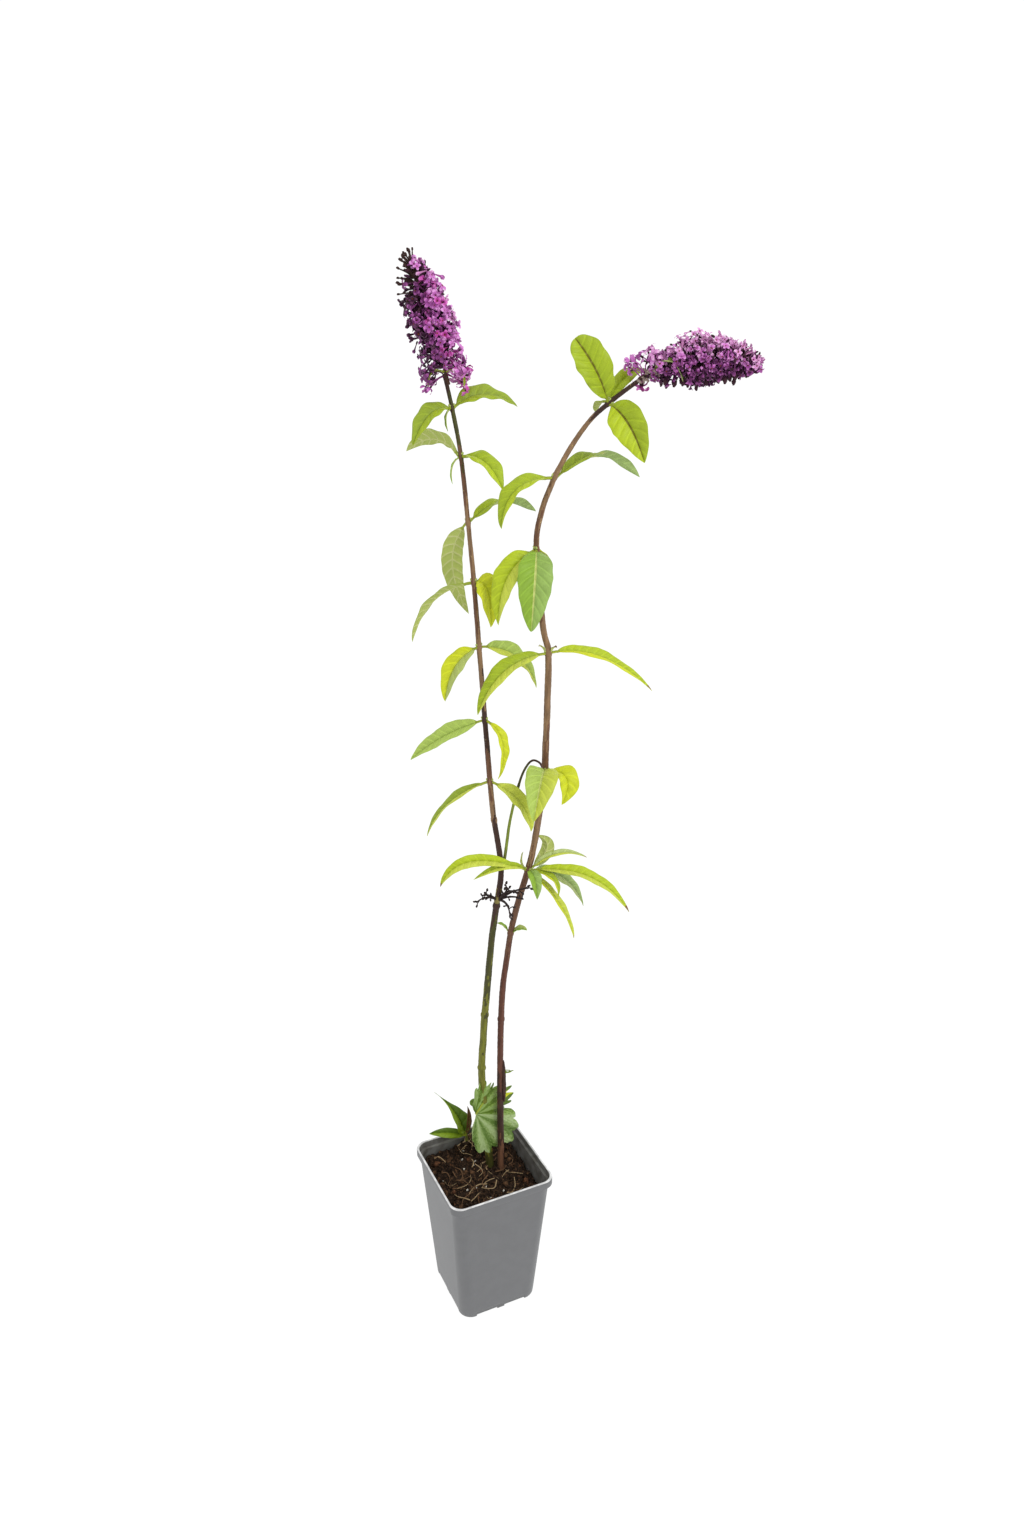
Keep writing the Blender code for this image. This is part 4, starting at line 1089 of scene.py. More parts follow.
def make_basal_leaves():
    rng = np.random.default_rng(51)
    pile = Pile()
    make_fan_leaf(pile, rng)
    place, _, radius = place_on_stem(LOW_NODE_AT, [LEFT_STEM])
    stalk = [place + [0, radius * 0.6, 0], place + [-2.5, 6, -2], np.array(FAN_AT) + [0, 0.4, 0]]
    tube(pile, smooth_route(stalk, 1.0), 1.8, number("leaf_stalk"))
    make_leaf(pile, LOW_TOOTH, place, np.array([0, radius, 0]), rng)
    make_piece("basal_leaf_front", pile, "felted_leaf", "basal_leaves_front", sharp=70)

    pile = Pile()
    across, toward, _ = SOIL_NODE
    foot = soil_height(*pot_xy(SOIL_NODE)) - 1
    stalk = [(across, toward, foot), (across + 1, toward, foot + 6), SOIL_NODE]
    tube(pile, smooth_route(stalk, 1.0), 2.4, number("bark_moss"))
    for blade in SOIL_LEAVES:
        make_leaf(pile, blade, SOIL_NODE, np.zeros(3), rng)
    make_piece("basal_leaf_tuft", pile, "felted_leaf", "basal_leaves_left", sharp=70)


# Flower spikes

TUBE_SIDES = 5
LOBES = 4
EDGE_ROWS = 2
LOBE_ROOT = 0.5
LOBE_RUFFLE = 0.12
LOBE_CUP = (-0.1, 0.35)
LOBE_ROLL = 0.7
LOBE_SWING = 22
LOBE_AIM = 0.25

# Dense florets: how they lean on toward the tip, stray from their places, clump and sit deep
LEAN = 0.2
TIP_LEAN = 4.5
TIP_FROM = 0.82
TURN_STRAY = 0.3
LEAN_STRAY = 0.3
OUT_STRAY = 0.22
FACE_STRAY = 0.45
FACE_DROP = 0.25
CLUMP_RISE = 0.1
REACH_STRAY = 0.1
DEEP_SHARE = 0.25
DEEP_REACH = 0.78
FLORET_SEAT = 2.2
LEAST_REACH = 2.5

# Where along the left spike the bare stalks start
SHED_FROM = 0.7
SHED_TO = 0.99


def floret(rng, open_from, open_to, lobe_long, lobe_wide, tube_long=7.0, rows=5, columns=3):
    """One flower as a shape for scatter, facing its own Z, each lobe curling from one angle to the next.
    Its kinds are tube, calyx, throat, lobe and lobe's edge."""
    shape = Pile()
    angle = circle(TUBE_SIDES)

    def spun(profile):
        return np.array([[r * math.cos(a), r * math.sin(a), z] for r, z in profile for a in angle])

    wall = grid_faces(3, TUBE_SIDES, wrap=True)
    shape.add(spun([(0.4, -tube_long), (0.45, -tube_long * 0.4), (0.75, 0.0)]), wall, 0)
    shape.add(spun([(0.35, -tube_long - 0.6), (0.8, -tube_long + 0.4), (0.7, -tube_long + 1.8)]), wall, 1)
    here = np.arange(TUBE_SIDES)
    throat = np.column_stack([here, (here + 1) % TUBE_SIDES, np.full(TUBE_SIDES, TUBE_SIDES)])
    shape.add(np.concatenate([spun([(0.7, -0.1)]), [[0, 0, -0.5]]]), throat, 2)
    along = np.linspace(0, 1, rows + 1)
    across = np.linspace(-1, 1, columns + 1)[None]
    kinds = 3 + (np.repeat(np.arange(rows), columns) >= rows - EDGE_ROWS).astype(int)
    for quarter in range(LOBES):
        swing = rng.uniform(-LOBE_SWING, LOBE_SWING, 2)
        lean = np.radians(open_from + swing[0] + (open_to + swing[1] - open_from) * along)
        reach = LOBE_ROOT + np.concatenate([[0], np.cumsum(np.cos(lean[:-1]))]) * lobe_long / rows
        high = np.concatenate([[0], np.cumsum(np.sin(lean[:-1]))]) * lobe_long / rows
        half = lobe_wide / 2 * np.clip(np.sin(np.pi * (0.14 + 0.78 * along)), 0.15, 1) ** 0.7
        roll = rng.uniform(-LOBE_ROLL, LOBE_ROLL) * along
        cup = rng.uniform(*LOBE_CUP)
        side = across * (half * np.cos(roll))[:, None]
        raised = across * (half * np.sin(roll))[:, None] + cup * across**2
        raised = raised + LOBE_RUFFLE * rng.standard_normal(raised.shape)
        out = reach[:, None] - raised * np.sin(lean)[:, None]
        up = high[:, None] + raised * np.cos(lean)[:, None]
        aim = math.pi / 2 * quarter + rng.uniform(-LOBE_AIM, LOBE_AIM)
        x = out * math.cos(aim) - side * math.sin(aim)
        y = out * math.sin(aim) + side * math.cos(aim)
        shape.add(np.stack([x, y, up], axis=-1), grid_faces(rows + 1, columns + 1), kinds)
    return shape.joined()


def flower_looks(tones):
    """For each floret, the finishes of its tube, calyx, throat, lobes and lobes' edges."""
    names = ("flower_{}_tube", "flower_calyx", "flower_throat", "flower_{}_lobe", "flower_{}_edge")
    return np.array([[number(name.format(tone)) for name in names] for tone in tones])


def spike_axis(spike, share):
    share = np.asarray(share, float)[..., None]
    foot, tip, bow = (np.array(spike[key], float) for key in ("foot", "tip", "bow"))
    return foot + share * (tip - foot) + 4 * share * (1 - share) * bow


def spike_sides(spike, share, angle):
    """The stalk's points at some shares, the way on there, and the way out at some angles."""
    ahead = unit(spike_axis(spike, share + 0.01) - spike_axis(spike, share - 0.01))
    one = unit(np.cross(np.broadcast_to([0.0, 1.0, 0.0], ahead.shape), ahead))
    side = one * np.cos(angle)[:, None] + np.cross(ahead, one) * np.sin(angle)[:, None]
    return spike_axis(spike, share), ahead, side


def spike_radius(spike, share):
    widths = spike["half_width"]
    return np.interp(share, np.linspace(0, 1, len(widths)), widths)


def spike_florets(pile, spike, tone_of, kept, rng):
    """The dense florets of a spike, in several states, each facing out and a little on."""
    count = spike["florets"]
    shares = np.linspace(spike["first"], spike["last"], 400)
    weight = np.cumsum(spike_radius(spike, shares) + 2)
    share = np.interp((np.arange(count) + 0.5) / count * weight[-1], weight, shares)
    angle = np.arange(count) * GOLDEN_ANGLE + TURN_STRAY * rng.standard_normal(count)
    middle, ahead, side = spike_sides(spike, share, angle)
    lean = LEAN + TIP_LEAN * np.clip(share - TIP_FROM, 0, 1) + LEAN_STRAY * rng.standard_normal(count)
    out = unit(side + ahead * lean[:, None] + OUT_STRAY * rng.standard_normal((count, 3)))
    facing = unit(out + FACE_STRAY * rng.standard_normal((count, 3)) - FACE_DROP * UP)
    clumps = 1 + CLUMP_RISE * np.sin(share * 46) * np.sin(angle * 2.5)
    depth = np.where(rng.uniform(size=count) < DEEP_SHARE, DEEP_REACH, 1.0)
    stray = 1 + REACH_STRAY * rng.standard_normal(count)
    reach = spike_radius(spike, share) * depth * clumps * stray - FLORET_SEAT
    place = middle + out * np.clip(reach, LEAST_REACH, None)[:, None]
    looks = flower_looks(tone_of(share, side, rng))
    state = rng.integers(0, len(FLORET_STATES), count)
    stays = kept(share, side, rng)
    for which, curl in enumerate(FLORET_STATES):
        chosen = (state == which) & stays
        shape = floret(rng, *curl, *spike["lobe"])
        spins, sizes = rng.uniform(*ANY_SPIN, chosen.sum()), rng.uniform(*spike["sizes"], chosen.sum())
        scatter(pile, shape, place[chosen], facing[chosen], spins, sizes, looks[chosen])


def spike_heart(pile, spike, rng):
    """The closed buds and calyces on their stalks, which fill the heart of a spike."""
    inner = spike["florets"] // 2
    share = rng.uniform(spike["first"], spike["last"] - 0.03, inner)
    angle = rng.uniform(*ANY_SPIN, inner)
    middle, ahead, side = spike_sides(spike, share, angle)
    out = unit(side + 0.5 * ahead)
    place = middle + out * (spike_radius(spike, share) * rng.uniform(0.3, 0.68, inner))[:, None]
    heart = np.where(rng.uniform(size=inner) < 0.55, number("flower_calyx"), number("flower_dark_lobe"))
    scatter(pile, lump(0.85, flat=2.2), place, out, angle, rng.uniform(0.8, 1.3, inner), heart)
    for k in range(inner // 2):
        line = [middle[k], (middle[k] + place[k]) / 2 + 0.6 * ahead[k], place[k]]
        tube(pile, line, 0.7, number("flower_stalk"), sides=5)


def tones_by(light, steps):
    """The name that each value falls to, in (upper limit, name) steps."""
    return [next(name for limit, name in steps if value < limit) for value in light]


def left_tones(share, side, rng):
    """Painted light and shade with some random spread: dark purple on the left, magenta and orchid to the
    right, toward the light, pink at the top right.
    """
    light = side[:, 0] * 1.15 + 0.3 * side[:, 2] + 0.38 * rng.standard_normal(len(share))
    light = light + np.where(share > 0.8, 0.35, 0.0)
    return tones_by(light, [(-0.95, "dark"), (-0.1, "purple"), (0.35, "violet"), (0.7, "magenta"),
                            (1.5, "orchid"), (9, "pink")])


def left_kept(share, side, rng):
    """The upper left of the spike has shed its florets, and the foot has few."""
    bare = (share > 0.74) & (side[:, 0] < 0.25)
    thin = (share < 0.27) & (rng.uniform(size=len(share)) < 0.45)
    holes = (side[:, 0] < 0) & (rng.uniform(size=len(share)) < 0.14)
    return ~(bare | thin | holes)


def right_tones(share, side, rng):
    """Painted light and shade with some random spread: pinkish violet above and to the right, toward the
    light, deep purple beneath.
    """
    light = side[:, 2] * 1.5 + 0.3 * side[:, 0] + 0.6 * (share - 0.5) + 0.3 * rng.standard_normal(len(share))
    return tones_by(light, [(-1.5, "dark"), (-0.7, "purple"), (-0.1, "violet"), (0.8, "orchid"), (9, "pink")])


def right_kept(share, side, rng):
    """The foot of the spike has few florets."""
    return ~((share < 0.22) & (rng.uniform(size=len(share)) < 0.5))


def loose_florets(pile, spike, rng, count, between, long, down, aims, tones):
    """Loose florets at the foot of a spike, with strap-like lobes on thin curved tubes."""
    share = rng.uniform(*between, count)
    turn = np.radians(rng.uniform(*aims, count))
    middle = spike_axis(spike, share)
    out = unit(np.column_stack([np.sin(turn), rng.uniform(-0.8, 0.8, count), np.cos(turn)]))
    reach = long * rng.uniform(0.55, 1.1, count)
    end = middle + out * reach[:, None] - UP * (down * rng.uniform(0.2, 1, count))[:, None]
    bend = (middle + end) / 2 + 1.8 * UP + 0.9 * rng.standard_normal((count, 3))
    facing = unit(end - bend + 0.2 * rng.standard_normal((count, 3)))
    picked = rng.integers(0, len(tones), count)
    looks = flower_looks([tones[k] for k in picked])
    state = rng.integers(0, len(LOOSE_STATES), count)
    for k in range(count):
        tube(pile, smooth_route([middle[k], bend[k], end[k]], 1.4), 0.8, looks[k, 0], sides=6)
    for which, curl in enumerate(LOOSE_STATES):
        chosen = state == which
        shape = floret(rng, *curl, lobe_long=6.0, lobe_wide=2.7, tube_long=2.0, rows=7)
        spins, sizes = rng.uniform(*ANY_SPIN, chosen.sum()), rng.uniform(0.7, 1.1, chosen.sum())
        scatter(pile, shape, end[chosen], facing[chosen], spins, sizes, looks[chosen])


def bare_pedicels(pile, spike, count, rng):
    """The brown stalks at a spike's tip whose florets have fallen, each ending in a dry calyx."""
    dry = number("flower_dry")
    share = np.linspace(SHED_FROM, SHED_TO, count)
    turn = np.radians(np.interp(share, [SHED_FROM, SHED_TO], [-88, -12]) + 16 * rng.standard_normal(count))
    middle = spike_axis(spike, share)
    out = unit(np.column_stack([np.sin(turn), rng.uniform(-0.9, 0.9, count), np.cos(turn)]))
    long = np.interp(share, [SHED_FROM, 0.9, SHED_TO], [17, 15, 12]) * rng.uniform(0.75, 1.1, count)
    end = middle + out * long[:, None]
    bend = (middle + end) / 2 + np.outer(1.4 * np.sin(-turn), UP)
    for k in range(count):
        route = smooth_route([middle[k], bend[k], end[k]], 1.2)
        tube(pile, route, np.linspace(1.5, 0.8, len(route)), dry, sides=6)
    sizes = rng.uniform(0.8, 1.2, count)
    scatter(pile, lump(0.9, flat=1.5, seed=4), end, unit(end - bend), turn, sizes, dry)
    core = spike_axis(spike, np.linspace(0.62, 0.97, 12))
    relief = 1 + 0.22 * rng.standard_normal((12, 12))
    tube(pile, core, np.linspace(7.5, 2.5, 12), dry, sides=12, relief=relief)


def hanging_buds(pile, spike, count, rng):
    """Spent calyces that hang on their stalks along the underside of a spike."""
    calyx = number("flower_calyx")
    share = rng.uniform(0.12, 0.95, count)
    middle = spike_axis(spike, share)
    across = rng.uniform(-0.7, 0.7, count)
    out = unit(np.column_stack([0.3 * rng.standard_normal(count), across, -np.ones(count)]))
    reach = spike_radius(spike, share) * rng.uniform(0.85, 1.12, count)
    end = middle + out * reach[:, None]
    for k in range(count):
        tube(pile, [middle[k], (middle[k] + end[k]) / 2 + [0.8, 0, 0], end[k]], 0.7, calyx, sides=5)
    scatter(pile, lump(1.0, flat=1.7, seed=6), end, out, across, rng.uniform(0.8, 1.3, count), calyx)


def grey_hub(pile, spike, count, rng):
    """The knot of downy calyces where a spike leaves its stem."""
    places = spike_axis(spike, rng.uniform(-0.04, 0.16, count)) + 1.8 * rng.standard_normal((count, 3))
    grey = rng.choice([number("flower_calyx_grey"), number("flower_purple_tube")], count, p=[0.7, 0.3])
    outs, sizes = rng.standard_normal((count, 3)), rng.uniform(0.7, 1.3, count)
    scatter(pile, lump(0.85, flat=2.0, seed=7), places, outs, np.zeros(count), sizes, grey)


def start_spike(spike, tone_of, kept):
    """What both spikes have: the stalk, the dense florets, the heart and the loose florets."""
    rng = np.random.default_rng(spike["seed"])
    pile = Pile()
    route = spike_axis(spike, np.linspace(-0.06, 0.96, 40))
    tube(pile, route, np.linspace(2.5, 1.0, len(route)), number("flower_stalk"), sides=10)
    spike_florets(pile, spike, tone_of, kept, rng)
    spike_heart(pile, spike, rng)
    for loose in spike["loose"]:
        loose_florets(pile, spike, rng, **loose)
    return pile, rng


def make_spikes():
    pile, rng = start_spike(LEFT_SPIKE, left_tones, left_kept)
    bare_pedicels(pile, LEFT_SPIKE, 26, rng)
    for bract in LEFT_BRACTS:
        make_leaf(pile, bract, spike_axis(LEFT_SPIKE, BRACT_AT), np.zeros(3), rng)
    make_piece("left_spike_florets", pile, "flower", "left_flower_spike", sharp=70)

    pile, rng = start_spike(RIGHT_SPIKE, right_tones, right_kept)
    hanging_buds(pile, RIGHT_SPIKE, 34, rng)
    grey_hub(pile, RIGHT_SPIKE, 70, rng)
    make_leaf(pile, RIGHT_BRACT, spike_axis(RIGHT_SPIKE, BRACT_AT), np.array([0, 2.0, 1.0]), rng)
    make_piece("right_spike_florets", pile, "flower", "right_flower_spike", sharp=70)


def make_spent_spike():
    """The dead spike at the fork: forked dry twigs with the husks of its fruit."""
    rng = np.random.default_rng(61)
    pile = Pile()
    black = number("bark_black")
    place, along, radius = place_on_stem(SPENT_AT, [LEFT_LEADER])
    ends, outs = [], []
    for end, bow in SPENT_TWIGS:
        end, bow = np.array(end, float), np.array(bow, float)
        start = place + root_on_stem(end + 3 * bow, along, radius * 0.7)
        share = np.linspace(0, 1, 14)[:, None]
        route = start + share * (place + end - start) + 4 * share * (1 - share) * bow
        relief = 1 + 0.14 * rng.standard_normal((len(route), 7))
        tube(pile, route, np.linspace(2.2, 1.0, len(route)), black, sides=7, relief=relief)
        for fork in range(6):
            at = route[3 + 2 * fork]
            way = unit(unit(route[-1] - route[0]) + rng.standard_normal(3) * 0.8)
            tip = at + way * rng.uniform(2.4, 5.5)
            twig = smooth_route([at, (at + tip) / 2 + 0.6 * rng.standard_normal(3), tip], 0.8)
            tube(pile, twig, np.linspace(1.1, 0.7, len(twig)), black, sides=6)
            ends.append(tip)
            outs.append(way)
        ends.append(route[-1])
        outs.append(unit(route[-1] - route[-3]))
    count = len(ends)
    sizes = rng.uniform(0.8, 1.2, count)
    scatter(pile, lump(0.85, flat=1.6, seed=5), ends, outs, np.zeros(count), sizes, black)
    make_piece("spent_spike_twigs", pile, "dead_twig", "spent_flower_spike")


# Soil

SOIL_CELLS = 130
SOIL_SUNK = 1.5
CRUMB_SIZES = ((5.2, 0.6), (2.6, 0.48), (1.3, 0.33))
CRUMB_LUMPS = ((1, 420, 0.9), (2, 300, 1.4), (3, 90, 2.4))
FIBRES = 62
FIBRE_LONG = (6, 22)
FIBRE_WIDE = (0.4, 1.15)
PALE_FIBRES = 0.65
PERLITE_BITS = 20


def pot_xy(place):
    """The pot's own X and Y at a place given across and toward."""
    return to_pot(np.array([place[0], place[1], 0.0]))[:2]


def soil_height(x, y):
    """Height of the soil at a place in the pot: crumbs, mound and bank, fading to flat by the stems."""
    spot = from_pot(np.stack([x, y, 0 * x], axis=-1))
    from_stems = np.hypot(spot[..., 0] - STEMS_AT[0], spot[..., 1] - STEMS_AT[1])
    from_mound = np.hypot(spot[..., 0] - MOUND_AT[0], spot[..., 1] - MOUND_AT[1])
    flat = 1 - np.exp(-((from_stems / FLAT_REACH) ** 4))
    crumbs = np.sin(x * 0.41 + 1) * np.cos(y * 0.37) + 0.5 * np.sin(x * 0.9 - y * 0.7)
    bank = BANK_TALL * hump(y - BANK_AT, BANK_REACH) / (1 + np.exp((x - BANK_ENDS) / BANK_FADE))
    return SOIL_TOP + flat * (CRUMB_TALL * crumbs + MOUND_TALL * hump(from_mound, MOUND_REACH) + bank)


def half_side(height):
    """Half the outer side of the pot's body at some height."""
    body_top = POT_TOP / 2 - RIM_PROUD
    return POT_FOOT / 2 + (body_top - POT_FOOT / 2) * height / (POT_TALL - RIM_TALL)


def inner_half(height):
    return half_side(height) - POT_WALL


SOIL_HALF = inner_half(SOIL_TOP - 4) - 0.4


def in_square(u, v, half, corner):
    """Points of the square from -1 to 1, as points of a square with round corners."""
    x, y = u * half, v * half
    inner = half - corner
    past_x, past_y = np.maximum(np.abs(x) - inner, 0), np.maximum(np.abs(y) - inner, 0)
    over = np.hypot(past_x, past_y)
    pull = np.where(over > 1e-9, np.maximum(past_x, past_y) / np.maximum(over, 1e-9), 1.0)
    return (np.sign(x) * (np.minimum(np.abs(x), inner) + past_x * pull),
            np.sign(y) * (np.minimum(np.abs(y), inner) + past_y * pull))


def square_noise(rng, u, v, size):
    """Smooth random heights over the soil, in cells of some size."""
    cell = rng.standard_normal((int(2 * SOIL_HALF / size) + 2,) * 2)
    row, column = (u + 1) / 2 * (len(cell) - 1.01), (v + 1) / 2 * (len(cell) - 1.01)
    i, j = row.astype(int), column.astype(int)
    p, q = ease(row - i), ease(column - j)
    return (cell[i, j] * (1 - p) * (1 - q) + cell[i + 1, j] * p * (1 - q)
            + cell[i, j + 1] * (1 - p) * q + cell[i + 1, j + 1] * p * q)


def add_soil_body(pile, rng):
    """The body of soil: a crumbly top, walls inside the pot's and a floor."""
    dots = SOIL_CELLS + 1
    line = np.linspace(-1, 1, dots)
    u, v = np.meshgrid(line, line, indexing="ij")
    x, y = in_square(u, v, SOIL_HALF, SOIL_CORNER)
    height = soil_height(x, y)
    for size, tall in CRUMB_SIZES:
        height = height + tall * square_noise(rng, u, v, size)
    height = np.where(np.maximum(np.abs(u), np.abs(v)) >= 1, height - SOIL_SUNK, height)
    top = np.stack([x, y, height], axis=-1).reshape(-1, 3)
    looks = np.where(rng.uniform(size=SOIL_CELLS**2) < 0.9, number("soil_dark"), number("soil_brown"))
    pile.add(from_pot(top), grid_faces(dots, dots), looks)
    wall = top[grid_edge(dots, dots)]
    count = len(wall)
    bottom = POT_FLOOR + 0.3
    inward = (inner_half(POT_FLOOR) - SOIL_SUNK) / SOIL_HALF
    floor = np.column_stack([wall[:, :2] * inward, np.full(count, bottom)])
    here = np.arange(count)
    after = (here + 1) % count
    walls = np.column_stack([here, after, after + count, here + count])
    ends = four(np.column_stack([here + count, after + count, np.full(count, 2 * count)]))
    pile.add(from_pot(np.concatenate([wall, floor, [[0, 0, bottom]]])), np.concatenate([walls, ends]),
             number("soil_dark"))


def on_soil(rng, many, reach=0.93, mound=0.0):
    """Places on the soil, with a share of them gathered on the mound."""
    u, v = rng.uniform(-reach, reach, many), rng.uniform(-reach, reach, many)
    x, y = in_square(u, v, SOIL_HALF, SOIL_CORNER)
    if mound:
        near = rng.uniform(size=many) < mound
        mound_x, mound_y = pot_xy(MOUND_AT)
        limit = SOIL_HALF - 3
        x = np.where(near, np.clip(mound_x + 9 * rng.standard_normal(many), -limit, limit), x)
        y = np.where(near, np.clip(mound_y + 7 * rng.standard_normal(many), -limit, limit), y)
    return from_pot(np.stack([x, y, soil_height(x, y)], axis=-1))


def add_bits(pile, rng, shape, places, sizes, looks):
    """Bits of a shape that lie at any angle at some places."""
    many = len(places)
    outs = unit(rng.standard_normal((many, 3)))
    scatter(pile, shape, places, outs, rng.uniform(*ANY_SPIN, many), rng.uniform(*sizes, many), looks)


def add_fibre(pile, rng):
    """One loose fibre that lies in a bow on the soil."""
    start = on_soil(rng, 1, 0.86, mound=0.25)[0] + 0.8 * UP
    way = unit(np.array([*rng.standard_normal(2), 0.1 * rng.standard_normal()]))
    long = rng.uniform(*FIBRE_LONG)
    bend = np.cross(way, UP) * rng.uniform(-0.35, 0.35) * long
    limit = SOIL_HALF - SOIL_SUNK
    line = []
    for share in (0, 0.3, 0.65, 1):
        place = start + way * long * (share - 0.5) + bend * 4 * share * (1 - share)
        x, y = np.clip(pot_xy(place), -limit, limit)
        spot = from_pot(np.array([x, y, soil_height(x, y)]))
        line.append(spot + (0.9 + 1.6 * rng.uniform()) * UP)
    look = number("fibre_pale") if rng.uniform() < PALE_FIBRES else number("fibre_brown")
    route = smooth_route(line, 1.2)
    tube(pile, route, rng.uniform(*FIBRE_WIDE) * np.linspace(1, 0.5, len(route)), look, sides=5)


def make_soil():
    rng = np.random.default_rng(71)
    pile = Pile()
    add_soil_body(pile, rng)
    tones = [number("soil_dark"), number("soil_brown"), number("soil_red")]
    for seed, many, size in CRUMB_LUMPS:
        places = on_soil(rng, many, mound=0.15) + 0.15 * size * UP
        looks = rng.choice(tones, many, p=[0.7, 0.25, 0.05])
        add_bits(pile, rng, lump(size, flat=0.75, seed=seed, rough=0.22), places, (0.6, 1.25), looks)
    make_piece("soil_crumbs", pile, "soil", "soil", sharp=80)

    pile = Pile()
    for _ in range(FIBRES):
        add_fibre(pile, rng)
    places = on_soil(rng, PERLITE_BITS, 0.85) + UP
    add_bits(pile, rng, lump(0.9, flat=0.7, seed=9, rough=0.25), places, (0.5, 1.3), number("perlite"))
    make_piece("soil_fibres", pile, "soil", sharp=80)


# Pot

def rounded_square(half, corner, height, steps=14):
    """The points of one square ring with round corners, counter-clockwise."""
    middle = half - corner
    points = []
    for quarter in range(4):
        x = middle * (1 if quarter in (0, 3) else -1)
        y = middle * (1 if quarter in (0, 1) else -1)
        for step in range(steps + 1):
            angle = math.radians(90 * (quarter + step / steps))
            points.append((x + corner * math.cos(angle), y + corner * math.sin(angle), height))
    return points


def pot_profile():
    """Half the side, the height and the finish of each ring of the pot: foot, wall, rim, lip and inside. The
    lip's finish is a painted highlight, and the inside's darker patches are painted shade.
    """
    foot, rim = POT_FOOT / 2, POT_TOP / 2
    ledge = POT_TALL - RIM_TALL
    return [
        (foot - 0.9, 0.0, "pot_body"),
        (foot - 0.25, 0.3, "pot_body"),
        (foot, 1.0, "pot_body"),
        *[(half_side(z), z, "pot_body") for z in np.linspace(6, ledge - 0.5, 9)],
        (half_side(ledge) + 0.1, ledge, "pot_body"),
        (rim - 0.3, ledge + 0.1, "pot_body"),
        (rim, ledge + 0.6, "pot_body"),
        (rim, POT_TALL - 1.4, "pot_body"),
        (rim - 0.1, POT_TALL - 0.5, "pot_lip_painted_highlight"),
        (rim - 0.4, POT_TALL, "pot_lip_painted_highlight"),
        (rim - RIM_LIP + 0.2, POT_TALL, "pot_lip_painted_highlight"),
        (rim - RIM_LIP, POT_TALL - 0.6, "pot_inside"),
        (rim - RIM_LIP - 0.2, ledge + 1.4, "pot_inside"),
        (inner_half(ledge), ledge + 0.6, "pot_inside"),
        *[(inner_half(z), z, "pot_inside") for z in np.linspace(ledge - 6, POT_FLOOR + 1, 6)],
        (inner_half(POT_FLOOR) - 1, POT_FLOOR, "pot_inside"),
    ]


def make_pot():
    """The pot as a loft through its profile, with notches cut in its foot. Shapes given in the
    pot's own X and Y are mirrored by from_pot, so their faces turn round."""
    profile = pot_profile()
    rings = np.array([
        rounded_square(half, POT_CORNER + FOOT_ROUNDER * (1 - z / POT_TALL), z) for half, z, _ in profile
    ])
    sides = rings.shape[1]
    points = np.concatenate([rings.reshape(-1, 3), [[0, 0, 0], [0, 0, POT_FLOOR]]])
    walls = np.repeat([number(look) for _, _, look in profile[:-1]], sides)
    looks = np.concatenate([walls, np.full(sides, number("pot_body")), np.full(sides, number("pot_inside"))])
    pile = Pile()
    pile.add(from_pot(points), closed_faces(len(profile), sides)[:, ::-1], looks)
    pot = make_piece("pot_shell", pile, "pot_plastic", "pot", sharp=35)
    cutters = [notch_cutter(side, end) for side in range(4) for end in (-1, 1)]
    for cutter in cutters:
        cut = pot.modifiers.new(cutter.name, "BOOLEAN")
        cut.operation = "DIFFERENCE"
        cut.object = cutter
        cut.solver = "EXACT"
    graph = bpy.context.evaluated_depsgraph_get()
    mesh = bpy.data.meshes.new_from_object(pot.evaluated_get(graph))
    pot.modifiers.clear()
    pot.data = mesh
    for cutter in cutters:
        bpy.data.objects.remove(cutter)


def notch_cutter(side, end):
    """A box that cuts one of the two notches in one side of the pot's foot."""
    angle = math.radians(90 * side)
    middle = end * (NOTCH_LONG + NOTCH_APART) / 2
    corners = []
    for x in (middle - NOTCH_LONG / 2, middle + NOTCH_LONG / 2):
        for y in (POT_FOOT / 2 - NOTCH_DEEP, POT_FOOT / 2 + NOTCH_DEEP):
            for z in (-NOTCH_TALL, NOTCH_TALL):
                turned_x = math.cos(angle) * x - math.sin(angle) * y
                turned_y = math.sin(angle) * x + math.cos(angle) * y
                corners.append((turned_x, turned_y, z))
    faces = [(2, 3, 1, 0), (5, 7, 6, 4), (1, 5, 4, 0), (6, 7, 3, 2), (4, 6, 2, 0), (3, 7, 5, 1)]
    pile = Pile()
    pile.add(from_pot(np.array(corners)), faces, number("pot_body"))
    return plain_mesh(f"notch_{side}_{end}", pile)


# Camera, light and floor

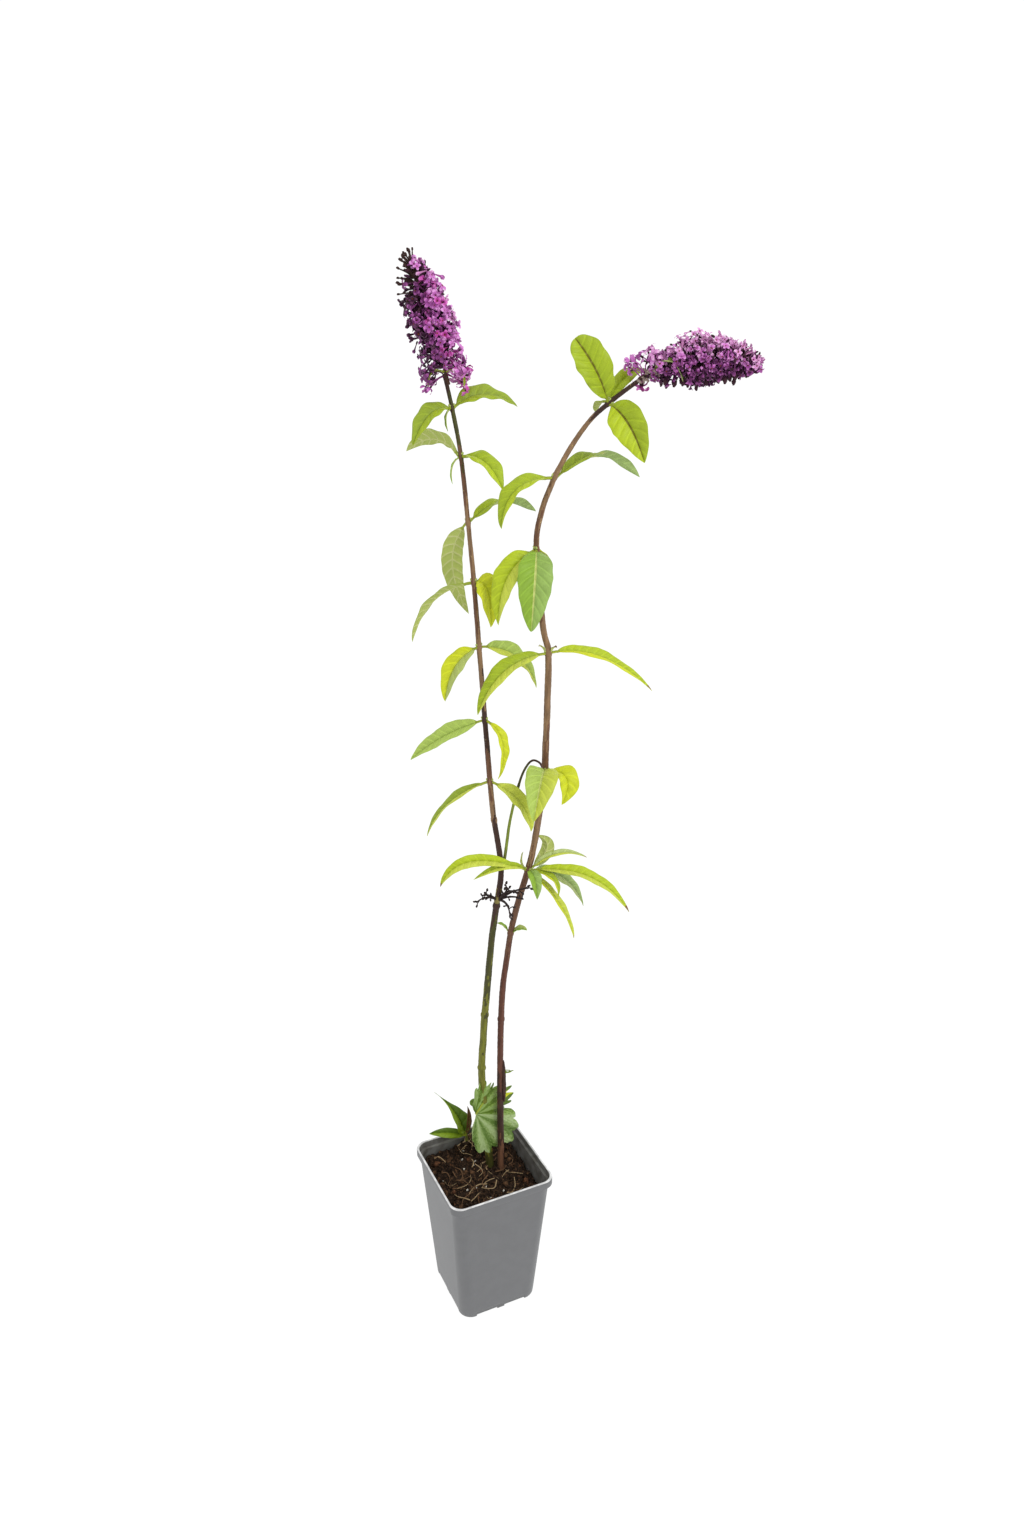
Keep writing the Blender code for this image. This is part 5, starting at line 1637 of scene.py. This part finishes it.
def make_camera():
    data = bpy.data.cameras.new("camera")
    data.lens = CAMERA_LENS
    data.sensor_width = SENSOR
    data.clip_start = 0.01
    camera = bpy.data.objects.new("camera", data)
    bpy.context.scene.collection.objects.link(camera)
    camera.location = to_frame(CAMERA_AT)
    camera.rotation_euler = (math.radians(90 - CAMERA_DOWN), 0, -TURN)
    bpy.context.scene.camera = camera


def make_light():
    data = bpy.data.lights.new("key", "AREA")
    data.shape = "DISK"
    data.size = LIGHT_WIDE_M
    data.energy = LIGHT_WATTS
    made = bpy.data.objects.new("key", data)
    bpy.context.scene.collection.objects.link(made)
    made.location = to_frame(LIGHT_AT)
    line = to_frame(LIGHT_AIM) - to_frame(LIGHT_AT)
    tilt = math.acos(-line[2] / np.linalg.norm(line))
    made.rotation_euler = (tilt, 0, math.atan2(line[1], line[0]) - math.pi / 2)


def make_stage():
    white = finish("stage_white", (0.1, 0.1, 0.1), 1.0, specular=0.0)
    shader = white.node_tree.nodes["Principled BSDF"]
    shader.inputs["Emission Color"].default_value = (1.0, 1.0, 1.0, 1.0)
    shader.inputs["Emission Strength"].default_value = FLOOR_GLOW
    bpy.ops.mesh.primitive_circle_add(
        vertices=96, radius=FLOOR_REACH_M, fill_type="NGON", location=(0, 0, -FLOOR_DROP_M))
    floor = bpy.context.object
    floor.name = "floor"
    floor.data.materials.append(white)
    world = bpy.data.worlds.new("studio")
    bpy.context.scene.world = world
    world.use_nodes = True
    world.node_tree.nodes["Background"].inputs["Color"].default_value = (1.0, 1.0, 1.0, 1.0)
    world.node_tree.nodes["Background"].inputs["Strength"].default_value = WORLD_STRENGTH
    bpy.context.scene.view_settings.view_transform = "Standard"


def main():
    make_leaf_finishes()
    make_bark_finishes()
    make_flower_finishes()
    make_soil_finishes()
    make_camera()
    make_stage()
    make_light()
    make_pot_finishes()
    make_pot()
    make_soil()
    make_stems()
    for turn, (name, near, blades) in enumerate(LEFT_NODES):
        make_leaf_pair(name, near, blades, [LEFT_LEADER], 101 + turn)
    for turn, (name, near, blades) in enumerate(RIGHT_NODES):
        make_leaf_pair(name, near, blades, RIGHT_STEMS, 201 + turn)
    make_basal_leaves()
    make_spikes()
    make_spent_spike()


main()
